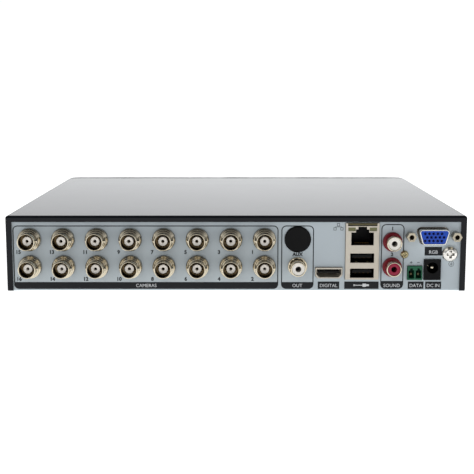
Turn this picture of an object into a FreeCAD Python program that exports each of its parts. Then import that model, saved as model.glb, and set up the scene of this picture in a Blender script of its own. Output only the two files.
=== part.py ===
import FreeCAD, Part
import math
import os
import re
import Sketcher
from FreeCAD import Rotation, Vector

# A sixteen-channel video recorder: folded steel tray and cover, moulded front, rear connectors,
# main board with a fan, hard disk and front keys.  Millimetres.
# Case coordinates, used by every piece below: X to the right as the rear panel is faced, Y from the
# plane of the cover's rear rim towards the front, Z up from the underside of the steel case.
# Each finished sub-part is then placed in the part's own frame, whose origin is on the surface
# that the feet stand on, under the middle of the whole.

doc = FreeCAD.newDocument("video_recorder")

# ---------------------------------------------------------------- driving dimensions

SIZES = {
    # case
    "case_wide": 255, "case_deep": 225, "case_tall": 42.5, "sheet_thick": 1, "bend_round": 1.3,
    "cover_gap": 0.3, "cover_deep": 210.8, "panel_in": 1.2, "rim_top": 3.5, "rim_side": 3.1,
    "tray_front": 211, "flange_tall": 3.2, "cover_round": 1.4, "post_radius": 3,
    "foot_tall": 3, "foot_radius": 6, "foot_x": 104, "foot_rear": 27, "foot_front": 192,
    "tab_x": 121.5, "tab_rear": 48, "tab_front": 184, "tab_long": 14, "tab_reach": 8.2,
    "vent_first": 118, "vent_pitch": 6, "vent_wide": 2.4, "vent_low": 12, "vent_long": 18,
    # front
    "bezel_wall": 2.2, "bezel_corner": 8, "bezel_edge": 2, "key_proud": 1,
    "window_x": 34, "window_z": 21, "window_wide": 62, "window_tall": 15, "window_thick": 1.6,
    "light_x": 86, "light_pitch": 7, "light_z": 21, "light_radius": 1.4,
    "key_radius": 4.2, "key_stem": 1.7, "key_flange": 5, "key_clear": 0.3, "key_dish": 0.25, "key_rim": 1.5,
    "key_edge": 0.6,
    "pad_x": -82, "pad_z": 21, "pad_step": 11.6, "power_x": 106,
    "front_board_y": 214, "board_thick": 1.6, "switch_side": 6.2, "switch_tall": 3.8,
    # screws
    "screw_radius": 1.5, "screw_play": 1.8, "screw_head": 2.6, "head_tall": 1.6,
    "ground_x": 118.6, "ground_z": 21.1, "ground_head": 4.4, "ground_tall": 2.8,
    "audio_screw_x": 93.5, "audio_screw_z": 20.7,
    # aerial-style video sockets in eight stacked pairs
    "bnc_x": -114.6, "bnc_pitch": 18.6, "bnc_high": 29.2, "bnc_low": 13.8, "bnc_out": 10.3,
    "bnc_radius": 4.8, "bnc_bore": 4.15, "bnc_mouth": 0.2, "bnc_collar": 6.3, "bnc_collar_out": 3.4,
    "bnc_lug_in": 5.2,
    "bnc_lead": 3.9, "bnc_lug": 1, "bnc_lug_proud": 0.75, "bnc_ring": 5.5, "bnc_ring_long": 1.1,
    "bnc_groove": 0.4, "bnc_slope": 0.6, "step_down": 0.3, "lip": 0.3,
    "jack_back": 3.5, "jack_deep": 17, "jack_over": 7.5, "jack_apart": 1.6, "out_case": 12,
    "out_case_over": 6, "core_radius": 2.5, "core_in": 3.9, "contact_radius": 0.9,
    "contact_in": 2,
    # phono sockets
    "rca_radius": 4.15, "rca_out": 8, "rca_collar": 5.3, "rca_bore": 3.55, "rca_pin": 1.6,
    "rca_collar_out": 1.6, "audio_case_wide": 13, "audio_case_deep": 14, "audio_case_over": 7,
    "lug_in": 6, "lug_past": 3, "lug_deep": 5, "lug_tall": 7,
    "out_x": 34.1, "plug_z": 29.2, "plug_radius": 7.35,
    "audio_x": 86.6, "audio_high": 27.9, "audio_low": 13.7,
    # digital sockets
    "hdmi_x": 51.5, "hdmi_z": 7.3, "hdmi_wide": 15, "hdmi_tall": 6.1, "hdmi_deep": 12, "hdmi_corner": 1.6,
    "hdmi_side": 0.6, "hdmi_floor": 0.7, "hdmi_roof": 0.9, "tongue_in": 1.2, "tongue_z": 2.9,
    "tongue_tall": 1.1, "cutout_gap": 0.2, "case_proud": 0.3,
    "stack_x": 69.9, "stack_z": 6.6, "stack_wide": 18.6, "stack_tall": 31.8, "stack_deep": 21,
    "lan_wide": 12.3, "lan_z": 26.1, "lan_tall": 7, "lan_deep": 13, "latch_wide": 7.2, "latch_tall": 1.7,
    "latch_top_wide": 4.6, "latch_top_tall": 3.2, "lamp_x": 5.9, "lamp_z": 34, "lamp_wide": 4,
    "lamp_tall": 1.9, "lamp_deep": 6, "spring_z": 36.8, "spring_wide": 16.2, "spring_tall": 1,
    "cage_thick": 0.4, "wire_pitch": 1.02, "wire_in": 4.5, "wire_thick": 0.45,
    "usb_wide": 13.1, "usb_tall": 5.1, "usb_high": 16.2, "usb_low": 7.7, "usb_deep": 11,
    "bus_tongue_wide": 11, "bus_tongue_tall": 1.7, "bus_tongue_in": 1.4, "strip_pitch": 2.4,
    "strip_wide": 1.1, "strip_thick": 0.25,
    "vga_x": 108.9, "vga_z": 31.1, "vga_wide": 16.3, "vga_tall": 8.3, "vga_out": 4.8,
    "vga_wall": 0.5, "vga_flange_wide": 31, "vga_flange_tall": 11.6, "vga_pin": 0.55, "vga_pin_pitch": 2.29,
    "vga_row_pitch": 1.98, "vga_post_pitch": 25, "vga_post_flats": 4.75, "vga_post_bore": 1.3,
    "vga_stud": 1.4, "vga_stud_long": 11, "vga_tap": 6, "vga_block_deep": 9, "vga_round": 1.7,
    "vga_draw": 1.45,
    "serial_x": 99.4, "serial_z": 6.4, "serial_wide": 8.2, "serial_tall": 7.8, "serial_pitch": 4,
    "serial_deep": 12, "well_low": 0.9, "well_wide": 3.1, "well_tall": 4.6, "well_deep": 8, "notch_wide": 1.4,
    "notch_top": 6.6, "serial_pin": 1, "serial_pin_in": 1.2, "serial_pin_z": 2.7, "serial_pin_long": 6.5,
    "power_in_x": 109.1, "power_in_z": 13.3, "power_in_wide": 9.2, "power_in_bore": 3.15,
    "power_in_pin": 1.05, "power_in_deep": 14, "power_in_hole": 10, "pin_in": 0.8, "pin_nose": 0.7,
    # main board and fan
    "board_half": 117.3, "board_rear": 3.2, "board_front": 100, "board_z": 4.8,
    "post_x": 111.5, "post_rear": 27, "post_front": 94,
    "fan_x": 62, "fan_y": 60, "fan_side": 40, "fan_deep": 10, "fan_bore": 18.8, "fan_z": 18.6,
    "fan_hub": 9.5, "fan_blade_reach": 18.1, "fan_shaft": 1, "fin_pitch": 4.2, "fin_thick": 1,
    "fan_corner": 4, "arm_wide": 2, "arm_thick": 1.2, "rotor_gap": 0.4, "blade_deep": 9, "blade_thick": 0.9,
    "sink_up": 2, "sink_thick": 2, "chip_tall": 1.4, "processor_side": 22, "processor_tall": 2,
    "cell_x": -20, "cell_y": 66, "cell_radius": 10, "cell_thick": 3.2, "cell_up": 1, "holder_wall": 2,
    # hard disk
    "disk_x": -118, "disk_y": 104, "disk_long": 147, "disk_wide": 101.6, "disk_tall": 26.1,
    "disk_z": 5, "disk_hole_rear": 41.28, "disk_hole_front": 85.73, "disk_hole_edge": 3.18,
    "lead_radius": 2, "lead_z": 9.6, "data_lead_x": 56, "data_lead_bend": 14, "data_lead_y": 130,
    "power_lead_x": 70, "power_lead_bend": 22, "power_lead_y": 148, "plug_wide": 12, "plug_deep": 7,
    "plug_tall": 6, "ribbon_x": 99, "ribbon_wide": 14, "ribbon_thick": 0.6, "ribbon_low": 4, "ribbon_high": 9,
    "ribbon_run": 12, "disk_corner": 3, "disk_rim": 3, "disk_lid_sunk": 1.2, "disk_pocket_tall": 3.5,
}

sheet = doc.addObject("Spreadsheet::Sheet", "sizes")
for row, (alias, number) in enumerate(SIZES.items(), 1):
    sheet.set(f"A{row}", alias)
    sheet.set(f"B{row}", str(number))
    sheet.setAlias(f"B{row}", alias)
doc.recompute()

REAR = "(bnc_out - case_deep)/2"
HALF = "case_wide/2"
TRAY_HALF = "(case_wide/2 - sheet_thick - cover_gap)"
TRAY_TALL = "(case_tall - sheet_thick - cover_gap)"
PANEL_BACK = "(panel_in + sheet_thick)"
BOARD_TOP = "(board_z + board_thick)"
WORD = re.compile(r"[a-z][a-z_0-9]*")

# ---------------------------------------------------------------- helpers


def bind(item, prop, formula):
    """Ties a property to a formula of the sheet's names."""
    item.setExpression(prop, WORD.sub(lambda word: "sizes." + word.group(), str(formula)))


def place(item, x, y, z, rotation=None):
    if rotation:
        item.Placement.Rotation = rotation
    for axis, formula in zip("xyz", (x, y, z)):
        bind(item, f"Placement.Base.{axis}", formula)


def block(name, x, y, z, wide, deep, tall, rotation=None):
    """A box from its lowest corner."""
    item = doc.addObject("Part::Box", name)
    bind(item, "Length", wide)
    bind(item, "Width", deep)
    bind(item, "Height", tall)
    place(item, x, y, z, rotation)
    return item


def mid_block(name, x, y, z, wide, deep, tall):
    """A box centred on x."""
    return block(name, f"{x} - ({wide})/2", y, z, wide, deep, tall)


ALONG = {
    "x": Rotation(Vector(0, 1, 0), 90),
    "y": Rotation(Vector(1, 0, 0), -90),
    "z": Rotation(),
}


def rod(name, axis, x, y, z, radius, length):
    """A cylinder that starts at a point and runs along one axis."""
    item = doc.addObject("Part::Cylinder", name)
    bind(item, "Radius", radius)
    bind(item, "Height", length)
    place(item, x, y, z, ALONG[axis])
    return item


def cone(name, x, y, z, bottom, top, tall):
    item = doc.addObject("Part::Cone", name)
    bind(item, "Radius1", bottom)
    bind(item, "Radius2", top)
    bind(item, "Height", tall)
    place(item, x, y, z)
    return item


def group(name, items):
    """Solids that stay separate and move as one."""
    item = doc.addObject("Part::Compound", name)
    item.Links = items
    return item


def fuse(name, items):
    item = doc.addObject("Part::MultiFuse", name)
    item.Shapes = items
    return item


CUTS = []


def cut(name, base, tools):
    item = doc.addObject("Part::Cut", name)
    item.Base = base
    item.Tool = tools[0] if len(tools) == 1 else group(name + "_tools", tools)
    CUTS.append(item)
    return item


def copy(name, source, x, y, z, rotation=None):
    item = doc.addObject("App::Link", name)
    item.LinkedObject = source
    place(item, x, y, z, rotation)
    return item


def outline(sketch, points):
    """A closed outline of straight lines through points given as formulas."""
    first = sketch.GeometryCount
    for turn in range(len(points)):
        start, end = Vector(turn, turn * turn, 0), Vector(turn + 1, (turn + 1) ** 2, 0)
        sketch.addGeometry(Part.LineSegment(start, end), False)
    for turn, corner in enumerate(points):
        following = first + (turn + 1) % len(points)
        sketch.addConstraint(Sketcher.Constraint("Coincident", first + turn, 2, following, 1))
        for kind, formula in zip(("DistanceX", "DistanceY"), corner):
            number = sketch.addConstraint(Sketcher.Constraint(kind, -1, 1, first + turn, 1, 1.0))
            bind(sketch, f"Constraints[{number}]", formula)


def sketch_on(body, role, offset):
    sketch = body.newObject("Sketcher::SketchObject", body.Name + "_sketch")
    plane = next(item for item in body.Origin.OriginFeatures if item.Role == role)
    sketch.AttachmentSupport = (plane, [""])
    sketch.MapMode = "FlatFace"
    bind(sketch, "AttachmentOffset.Base.z", offset)
    return sketch


def prism(name, role, points, start, length):
    """A straight-sided piece; XZ_Plane looks towards -Y, so its sketch lies at the far end."""
    body = doc.addObject("PartDesign::Body", name)
    offset = f"-({start}) - ({length})" if role == "XZ_Plane" else start
    sketch = sketch_on(body, role, offset)
    outline(sketch, points)
    pad = body.newObject("PartDesign::Pad", name + "_pad")
    pad.Profile = sketch
    bind(pad, "Length", length)
    return body


def turned(name, points):
    """A turned piece: (radius, y) points spun about the Y axis."""
    body = doc.addObject("PartDesign::Body", name)
    sketch = sketch_on(body, "XY_Plane", "0")
    outline(sketch, points)
    spin = body.newObject("PartDesign::Revolution", name + "_spin")
    spin.Profile = sketch
    spin.ReferenceAxis = (sketch, ["V_Axis"])
    spin.Angle = 360
    return body


def rounded(body, radius, wanted):
    """Rounds the edges of a body that pass a test of their bounding box."""
    doc.recompute()
    base = body.Tip
    edges = [f"Edge{n}" for n, edge in enumerate(base.Shape.Edges, 1) if wanted(edge.BoundBox)]
    feature = body.newObject("PartDesign::Fillet", body.Name + "_round")
    feature.Base = (base, edges)
    bind(feature, "Radius", radius)
    return feature


def hollowed(body, thick, wanted):
    """Leaves a wall of even thickness and opens the faces that pass the test."""
    doc.recompute()
    base = body.Tip
    faces = [f"Face{n}" for n, face in enumerate(base.Shape.Faces, 1) if wanted(face.BoundBox)]
    feature = body.newObject("PartDesign::Thickness", body.Name + "_wall")
    feature.Base = (base, faces)
    feature.Reversed = True
    bind(feature, "Value", thick)
    return feature


NODES = []


def node(name, items):
    """One finished sub-part: its solids, placed in the part's own frame."""
    item = group("part_" + name, items)
    place(item, "0", REAR, "foot_tall")
    item.Label = name
    NODES.append(item)


def rectangle(x0, x1, z0, z1):
    return [(x0, z0), (x1, z0), (x1, z1), (x0, z1)]


SIDES = {"left": "-", "right": ""}
ENDS = {"rear": "rear", "front": "front"}
DOWN = Rotation(Vector(1, 0, 0), -90)
UP = Rotation(Vector(1, 0, 0), 90)


# ---------------------------------------------------------------- steel tray


def through(name, radius, x, z):
    """A round tool through the rear panel."""
    return rod(name, "y", x, "0", z, radius, "panel_in + 3*sheet_thick")


def window(name, x, z, wide, tall):
    """A square tool through the rear panel, centred on x and rising from z."""
    return mid_block(name, x, "0", z, wide, "panel_in + 3*sheet_thick", tall)


def rear_openings():
    tools = []
    for column in range(8):
        across = f"bnc_x + {column}*bnc_pitch"
        tools.append(through(f"bnc_hole_high_{column}", "bnc_collar + 0.1", across, "bnc_high"))
        tools.append(through(f"bnc_hole_low_{column}", "bnc_collar + 0.1", across, "bnc_low"))
    tools.append(through("plug_hole", "plug_radius - 0.8", "out_x", "plug_z"))
    tools.append(through("out_hole", "rca_collar + 0.1", "out_x", "bnc_low"))
    tools.append(through("audio_hole_high", "rca_collar + 0.1", "audio_x", "audio_high"))
    tools.append(through("audio_hole_low", "rca_collar + 0.1", "audio_x", "audio_low"))
    tools.append(through("audio_screw_hole", "screw_radius", "audio_screw_x", "audio_screw_z"))
    tools.append(through("ground_hole", "screw_radius", "ground_x", "ground_z"))
    for side, across in vga_post_places():
        tools.append(through(f"vga_post_hole_{side}", "vga_stud + 0.2", across, "vga_z"))
    tools.append(prism("hdmi_cutout", "XZ_Plane", hdmi_outline("cutout_gap", "cutout_gap", "cutout_gap"), "0",
                       "panel_in + 3*sheet_thick"))
    tools.append(window("stack_cutout", "stack_x", "stack_z - cutout_gap", "stack_wide + 2*cutout_gap",
                        "stack_tall + 2*cutout_gap"))
    tools.append(prism("vga_cutout", "XZ_Plane", vga_outline("0.8"), "0", "panel_in + 3*sheet_thick"))
    tools.append(window("serial_cutout", "serial_x", "serial_z - cutout_gap", "serial_wide + 2*cutout_gap",
                        "serial_tall + 2*cutout_gap"))
    tools.append(window("power_in_cutout", "power_in_x", "serial_z - cutout_gap",
                        "power_in_wide + 2*cutout_gap",
                        "power_in_z + power_in_wide/2 - serial_z + 2*cutout_gap"))
    return tools


def post_places():
    """The four screws that hold the main board."""
    return [(f"{side}_{end}", f"{sign}post_x", f"post_{end}")
            for side, sign in SIDES.items() for end in ENDS]


def disk_places():
    """The four screws under the hard disk."""
    places = []
    for end in ENDS:
        x = f"disk_x + disk_long - disk_hole_{end}"
        places.append((f"{end}_near", x, "disk_y + disk_hole_edge"))
        places.append((f"{end}_far", x, "disk_y + disk_wide - disk_hole_edge"))
    return places


def tab_places():
    """The four screws that hold the cover, seen from below."""
    return [(f"{side}_{end}", f"{sign}tab_x", f"tab_{end}")
            for side, sign in SIDES.items() for end in ENDS]


def base_chassis():
    corners = rectangle("-" + TRAY_HALF, TRAY_HALF, "panel_in", "tray_front")
    body = prism("tray", "XY_Plane", corners, "0", TRAY_TALL)
    rounded(body, "bend_round", lambda box: box.ZMax < 0.01)
    top = SIZES["case_tall"] - SIZES["sheet_thick"] - SIZES["cover_gap"] - 0.01
    hollowed(body, "sheet_thick", lambda box: box.ZMin > top)
    sides = block("side_trim", f"-{HALF}", f"{PANEL_BACK} + bend_round", "flange_tall", "case_wide",
                  f"tray_front - {PANEL_BACK} - sheet_thick - 2*bend_round", "case_tall")
    trimmed = cut("tray_trimmed", body, [sides])
    notches = [mid_block(f"notch_{name}", x, f"{y} - tab_long/2 - 1", "sheet_thick", "2*tab_reach + 2",
                         "tab_long + 2", "flange_tall") for name, x, y in tab_places()]
    notched = cut("tray_notched", trimmed, notches)
    posted = fuse("tray_posted", [notched] + standoffs())
    tools = rear_openings()
    for name, x, y in post_places():
        tools.append(rod(f"post_tap_{name}", "z", x, y, "sheet_thick", "screw_radius", "board_z"))
    for name, x, y in disk_places():
        tools.append(rod(f"disk_post_hole_{name}", "z", x, y, "-1", "screw_radius + 0.1", "disk_z + 2"))
    for name, x, y in tab_places():
        tools.append(rod(f"floor_hole_{name}", "z", x, y, "-1", "screw_radius + 0.1", "3*sheet_thick"))
    tools.append(mid_block("ribbon_hole", "ribbon_x", "tray_front - 2*sheet_thick", "6", "ribbon_wide + 4",
                           "3*sheet_thick", "5"))
    node("base_chassis", [cut("tray_opened", posted, tools)])


def standoffs():
    """Posts riveted into the tray's floor: blind taps under the board, clear holes under the disk."""
    posts = [rod(f"post_{name}", "z", x, y, "0", "post_radius", "board_z") for name, x, y in post_places()]
    posts += [rod(f"disk_post_{name}", "z", x, y, "0", "post_radius", "disk_z")
              for name, x, y in disk_places()]
    return posts


# ---------------------------------------------------------------- steel cover


def cover_vents():
    """Upright round-ended slots, each tool cutting both side walls."""
    tools = []
    for number in range(12):
        y = f"vent_first + {number}*vent_pitch"
        middle = block(f"vent_{number}", f"-{HALF} - 1", f"{y} - vent_wide/2", "vent_low",
                       "case_wide + 2", "vent_wide", "vent_long")
        ends = [rod(f"vent_{number}_{end}", "x", f"-{HALF} - 1", y, z, "vent_wide/2", "case_wide + 2")
                for end, z in (("low", "vent_low"), ("high", "vent_low + vent_long"))]
        tools.append(fuse(f"vent_tool_{number}", [middle] + ends))
    return tools


def top_cover():
    corners = rectangle(f"-{HALF}", HALF, "0", "cover_deep")
    body = prism("cover", "XY_Plane", corners, "0", "case_tall")
    tall = SIZES["case_tall"] - 0.01
    front = SIZES["cover_deep"] - 0.01
    rounded(body, "cover_round", lambda box: box.ZMin > tall and box.YMin < front)
    hollowed(body, "sheet_thick", lambda box: box.ZMax < 0.01 or box.YMin > front)
    mouth = block("rear_mouth", f"-{HALF} + rim_side", "-1", "-1", "case_wide - 2*rim_side",
                  "2*sheet_thick + 1", "case_tall - rim_top + 1")
    opened = cut("cover_opened", body, [mouth])
    tabs = []
    for name, x, y in tab_places():
        start = f"{HALF} - sheet_thick/2 - tab_reach" if x[0] != "-" else f"-{HALF} + sheet_thick/2"
        tabs.append(block(f"tab_{name}", start, f"{y} - tab_long/2", "sheet_thick + cover_gap",
                          "tab_reach", "tab_long", "sheet_thick"))
    tabbed = fuse("cover_tabbed", [opened] + tabs)
    tools = [rod(f"tab_hole_{name}", "z", x, y, "0", "screw_play", "5*sheet_thick")
             for name, x, y in tab_places()]
    corner = block("cover_corner", f"-{HALF} - 1", "-1", "-1", "case_wide + 2", "1 + cover_round",
                   "1 + cover_round")
    kept = rod("cover_corner_kept", "x", f"-{HALF} - 2", "cover_round", "cover_round", "cover_round",
               "case_wide + 4")
    tools.append(cut("cover_corner_tool", corner, [kept]))
    node("top_cover", [cut("cover_slotted", tabbed, tools + cover_vents())])


# ---------------------------------------------------------------- moulded front

BEZEL_FRONT = "(case_deep - key_proud)"
BEZEL_BACK = "(case_deep - key_proud - bezel_wall)"


def key_places():
    """The keys as the front is faced: left on the front is a larger x."""
    return {
        "up_key": ("pad_x", "pad_z + pad_step"), "down_key": ("pad_x", "pad_z - pad_step"),
        "left_key": ("pad_x + pad_step", "pad_z"), "right_key": ("pad_x - pad_step", "pad_z"),
        "enter_key": ("pad_x", "pad_z"), "power_key": ("power_x", "pad_z"),
    }


def front_bezel():
    corners = rectangle(f"-{HALF}", HALF, "tray_front", BEZEL_FRONT)
    body = prism("bezel", "XY_Plane", corners, "0", "case_tall")
    face = SIZES["case_deep"] - SIZES["key_proud"] - 0.01
    top = SIZES["case_tall"] - 0.01
    back = SIZES["tray_front"] + 0.01
    rounded(body, "bezel_corner", lambda box: box.YMin > face and box.ZLength > top)
    hollowed(body, "bezel_wall", lambda box: box.YMax < back)
    rounded(body, "bezel_edge", lambda box: (box.ZMin > top or box.ZMax < 0.01) and box.YMax > back)
    tools = [rod(f"{name}_hole", "y", x, BEZEL_BACK + " - 1", z, "key_radius + key_clear",
                 "bezel_wall + 2") for name, (x, z) in key_places().items()]
    tools += [rod(f"light_hole_{number}", "y", f"light_x - {number}*light_pitch", BEZEL_BACK + " - 1",
                  "light_z", "light_radius", "bezel_wall + 2") for number in range(3)]
    tools.append(mid_block("window_recess", "window_x", BEZEL_FRONT + " - window_thick",
                           "window_z - window_tall/2", "window_wide", "bezel_wall", "window_tall"))
    tools.append(mid_block("window_light", "window_x", BEZEL_BACK + " - 1",
                           "window_z - window_tall/2 + 2", "window_wide - 4", "bezel_wall + 2",
                           "window_tall - 4"))
    opened = fuse_free_cut("bezel_opened", body, tools)
    node("front_bezel", [opened])
    pane = mid_block("pane", "window_x", BEZEL_FRONT + " - window_thick", "window_z - window_tall/2 + 0.1",
                     "window_wide - 0.2", "window_thick - 0.2", "window_tall - 0.2")
    node("front_window", [pane])
    pipes = [rod(f"pipe_{number}", "y", f"light_x - {number}*light_pitch", "front_board_y + board_thick",
                 "light_z", "light_radius - 0.05", f"{BEZEL_FRONT} - front_board_y - board_thick")
             for number in range(3)]
    node("light_pipes", pipes)


def fuse_free_cut(name, base, tools):
    """Cuts tools that overlap each other, so they are joined first."""
    return cut(name, base, [fuse(name + "_joined", tools)])


def front_keys():
    face = "case_deep"
    flange = f"({BEZEL_BACK} - 0.1)"
    profile = [
        ("0", f"{face} - key_dish"), ("key_radius - key_rim", f"{face} - key_dish"),
        ("key_radius - key_rim + key_dish", face), ("key_radius - key_edge", face),
        ("key_radius", f"{face} - key_edge"),
        ("key_radius", flange), ("key_flange", flange), ("key_flange", f"{flange} - 1"),
        ("key_stem", f"{flange} - 1"), ("key_stem", "front_board_y + board_thick + 1.6"),
        ("0", "front_board_y + board_thick + 1.6"),
    ]
    shape = turned("key_shape", profile)
    for name, (x, z) in key_places().items():
        node(name, [copy(name + "_copy", shape, x, "0", z)])


def front_board():
    """The switch board behind the front, and its six switch bodies."""
    corners = rectangle("-board_half", "board_half", "sheet_thick + 3", "case_tall - 4")
    plate = prism("switch_board", "XZ_Plane", corners, "front_board_y", "board_thick")
    legs = [mid_block(f"board_leg_{side}", f"{sign}board_half*0.7", "tray_front", "6", "4",
                      "front_board_y - tray_front", "4") for side, sign in SIDES.items()]
    node("front_board", [plate] + legs)
    bodies = []
    for name, (x, z) in key_places().items():
        case = mid_block(f"{name}_switch", x, "front_board_y + board_thick", f"{z} - switch_side/2",
                         "switch_side", "switch_tall", "switch_side")
        hole = rod(f"{name}_switch_hole", "y", x, "front_board_y + board_thick + 0.5", z,
                   "key_stem + 0.4", "switch_tall")
        bodies.append(cut(f"{name}_switch_body", case, [hole]))
    node("tact_switches", bodies)


# ---------------------------------------------------------------- feet and fasteners


def rubber_feet():
    feet = [cone(f"foot_{side}_{end}", f"{sign}foot_x", f"foot_{end}", "-foot_tall",
                 "foot_radius - 0.7", "foot_radius", "foot_tall")
            for side, sign in SIDES.items() for end in ENDS]
    node("rubber_feet", feet)


def pan_screw(name, head, head_tall, shank, length):
    """A pan-head screw with a cross recess; the seat of its head is at y = 0, its head at -Y."""
    profile = [
        ("0", f"-({head_tall})"), (f"{head}*0.6", f"-({head_tall})"), (f"{head}*0.92", f"-({head_tall})*0.6"),
        (head, f"-({head_tall})*0.25"), (head, "0"), (shank, "0"), (shank, length), ("0", length),
    ]
    body = turned(name, profile)
    arm, wide = f"{head}*0.5", f"{head}*0.17"
    flat = block(name + "_slot_flat", f"-({arm})", f"-({head_tall}) - 1", f"-({wide})", f"2*({arm})",
                 f"1 + ({head_tall})*0.55", f"2*({wide})")
    tall = block(name + "_slot_tall", f"-({wide})", f"-({head_tall}) - 1", f"-({arm})", f"2*({wide})",
                 f"1 + ({head_tall})*0.55", f"2*({arm})")
    return fuse_free_cut(name + "_crossed", body, [flat, tall])


def fasteners():
    under = pan_screw("cover_pan", "screw_head", "head_tall", "screw_radius", "6")
    node("cover_screws", [copy(f"cover_screw_{name}", under, x, y, "0", UP) for name, x, y in tab_places()])
    disk = pan_screw("disk_pan", "screw_head + 0.4", "head_tall", "screw_radius", "disk_z + 4")
    node("disk_screws", [copy(f"disk_screw_{name}", disk, x, y, "0", UP) for name, x, y in disk_places()])
    board = pan_screw("board_pan", "screw_head", "head_tall", "screw_radius - 0.05", "4.6")
    node("board_screws", [copy(f"board_screw_{name}", board, x, y, "board_z + board_thick", DOWN)
                          for name, x, y in post_places()])
    ground = pan_screw("earth_pan", "ground_head", "ground_tall", "screw_radius - 0.05", "8")
    node("ground_screw", [copy("ground_screw_copy", ground, "ground_x", "panel_in", "ground_z")])
    audio = pan_screw("audio_pan", "2.2", "1.5", "screw_radius - 0.05", "7")
    node("audio_block_screw", [copy("audio_screw_copy", audio, "audio_screw_x", "panel_in", "audio_screw_z")])


# ---------------------------------------------------------------- video sockets


def bnc_barrel():
    """A bayonet socket about the Y axis, open towards -Y: rim, waist, ring, grooved collar, two lugs."""
    front, collar = "-bnc_out", "(panel_in - bnc_collar_out)"
    ring, waist = f"({collar} - bnc_ring_long)", "bnc_radius - step_down"
    groove, floor = f"({collar} + bnc_ring_long)", "(-bnc_out + core_in + 3.4)"
    profile = [
        ("bnc_bore + bnc_mouth", front), ("bnc_radius - lip", front), ("bnc_radius", f"{front} + lip"),
        ("bnc_radius", f"{front} + bnc_lead"), (waist, f"{front} + bnc_lead"),
        (waist, ring), ("bnc_ring - bnc_slope", ring), ("bnc_ring", f"{ring} + bnc_slope"),
        ("bnc_ring", collar), ("bnc_collar - bnc_slope", collar), ("bnc_collar", f"{collar} + bnc_slope"),
        ("bnc_collar", groove),
        ("bnc_collar - bnc_groove", groove), ("bnc_collar - bnc_groove", f"{groove} + bnc_groove"),
        ("bnc_collar", f"{groove} + bnc_groove"), ("bnc_collar", "jack_back"),
        ("core_radius", "jack_back"), ("core_radius", floor), ("bnc_bore", floor),
        ("bnc_bore", f"{front} + bnc_mouth"),
    ]
    barrel = turned("bnc_turned", profile)
    lugs = []
    for side, start in (("left", "-bnc_radius - bnc_lug_proud"), ("right", "bnc_radius - bnc_lug/2")):
        lugs.append(rod(f"bnc_lug_{side}", "x", start, "-bnc_out + bnc_lug_in", "0", "bnc_lug",
                        "bnc_lug_proud + bnc_lug/2"))
    return fuse("bnc_barrel", [barrel] + lugs)


def video_sockets():
    barrel = bnc_barrel()
    face = "-bnc_out + core_in"
    core = turned("bnc_core", [("contact_radius", face), ("core_radius", face), ("core_radius", "jack_back"),
                               ("contact_radius", "jack_back")])
    mouth, contact_bore = f"({face} + contact_in)", "contact_radius/2"
    contact = turned("bnc_contact", [
        (contact_bore, mouth), ("contact_radius", mouth), ("contact_radius", "jack_back + 1"),
        ("0", "jack_back + 1"), ("0", "0"), (contact_bore, "0")])
    cores, contacts, housings = [], [], []
    for column in range(8):
        across = f"bnc_x + {column}*bnc_pitch"
        barrels = []
        for level in ("high", "low"):
            mark = f"{level}_{column}"
            barrels.append(copy(f"bnc_{mark}", barrel, across, "0", f"bnc_{level}"))
            cores.append(copy(f"core_{mark}", core, across, "0", f"bnc_{level}"))
            contacts.append(copy(f"contact_{mark}", contact, across, "0", f"bnc_{level}"))
        node(f"bnc_shells_{column + 1}", barrels)
        case = mid_block(f"jack_case_{column}", across, "jack_back", BOARD_TOP, "bnc_pitch - jack_apart",
                         "jack_deep", f"bnc_high + jack_over - {BOARD_TOP}")
        holes = [rod(f"jack_hole_{level}_{column}", "y", across, "jack_back - 1", f"bnc_{level}",
                     "contact_radius", "2.1") for level in ("high", "low")]
        housings.append(cut(f"jack_housing_{column}", case, holes))
    node("bnc_insulators", cores)
    node("bnc_contacts", contacts)
    housings.append(mid_block("out_jack_housing", "out_x", "jack_back", BOARD_TOP, "out_case", "out_case",
                              f"bnc_low + out_case_over - {BOARD_TOP}"))
    node("jack_housings", housings)


def blanking_plug():
    """A black snap-in cap over the unused opening."""
    profile = [("0", "panel_in - 1"), ("plug_radius - 0.5", "panel_in - 1"),
               ("plug_radius", "panel_in - 0.6"), ("plug_radius", "panel_in"),
               ("plug_radius - 0.9", "panel_in"),
               ("plug_radius - 0.9", "panel_in + 4"), ("plug_radius - 2", "panel_in + 4"),
               ("plug_radius - 2", "panel_in + 0.4"), ("0", "panel_in + 0.4")]
    cap = turned("plug_cap", profile)
    node("blanking_plug", [copy("plug_copy", cap, "out_x", "0", "plug_z")])


# ---------------------------------------------------------------- phono sockets


def phono_places():
    return {"out": ("out_x", "bnc_low"), "high": ("audio_x", "audio_high"), "low": ("audio_x", "audio_low")}


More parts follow.
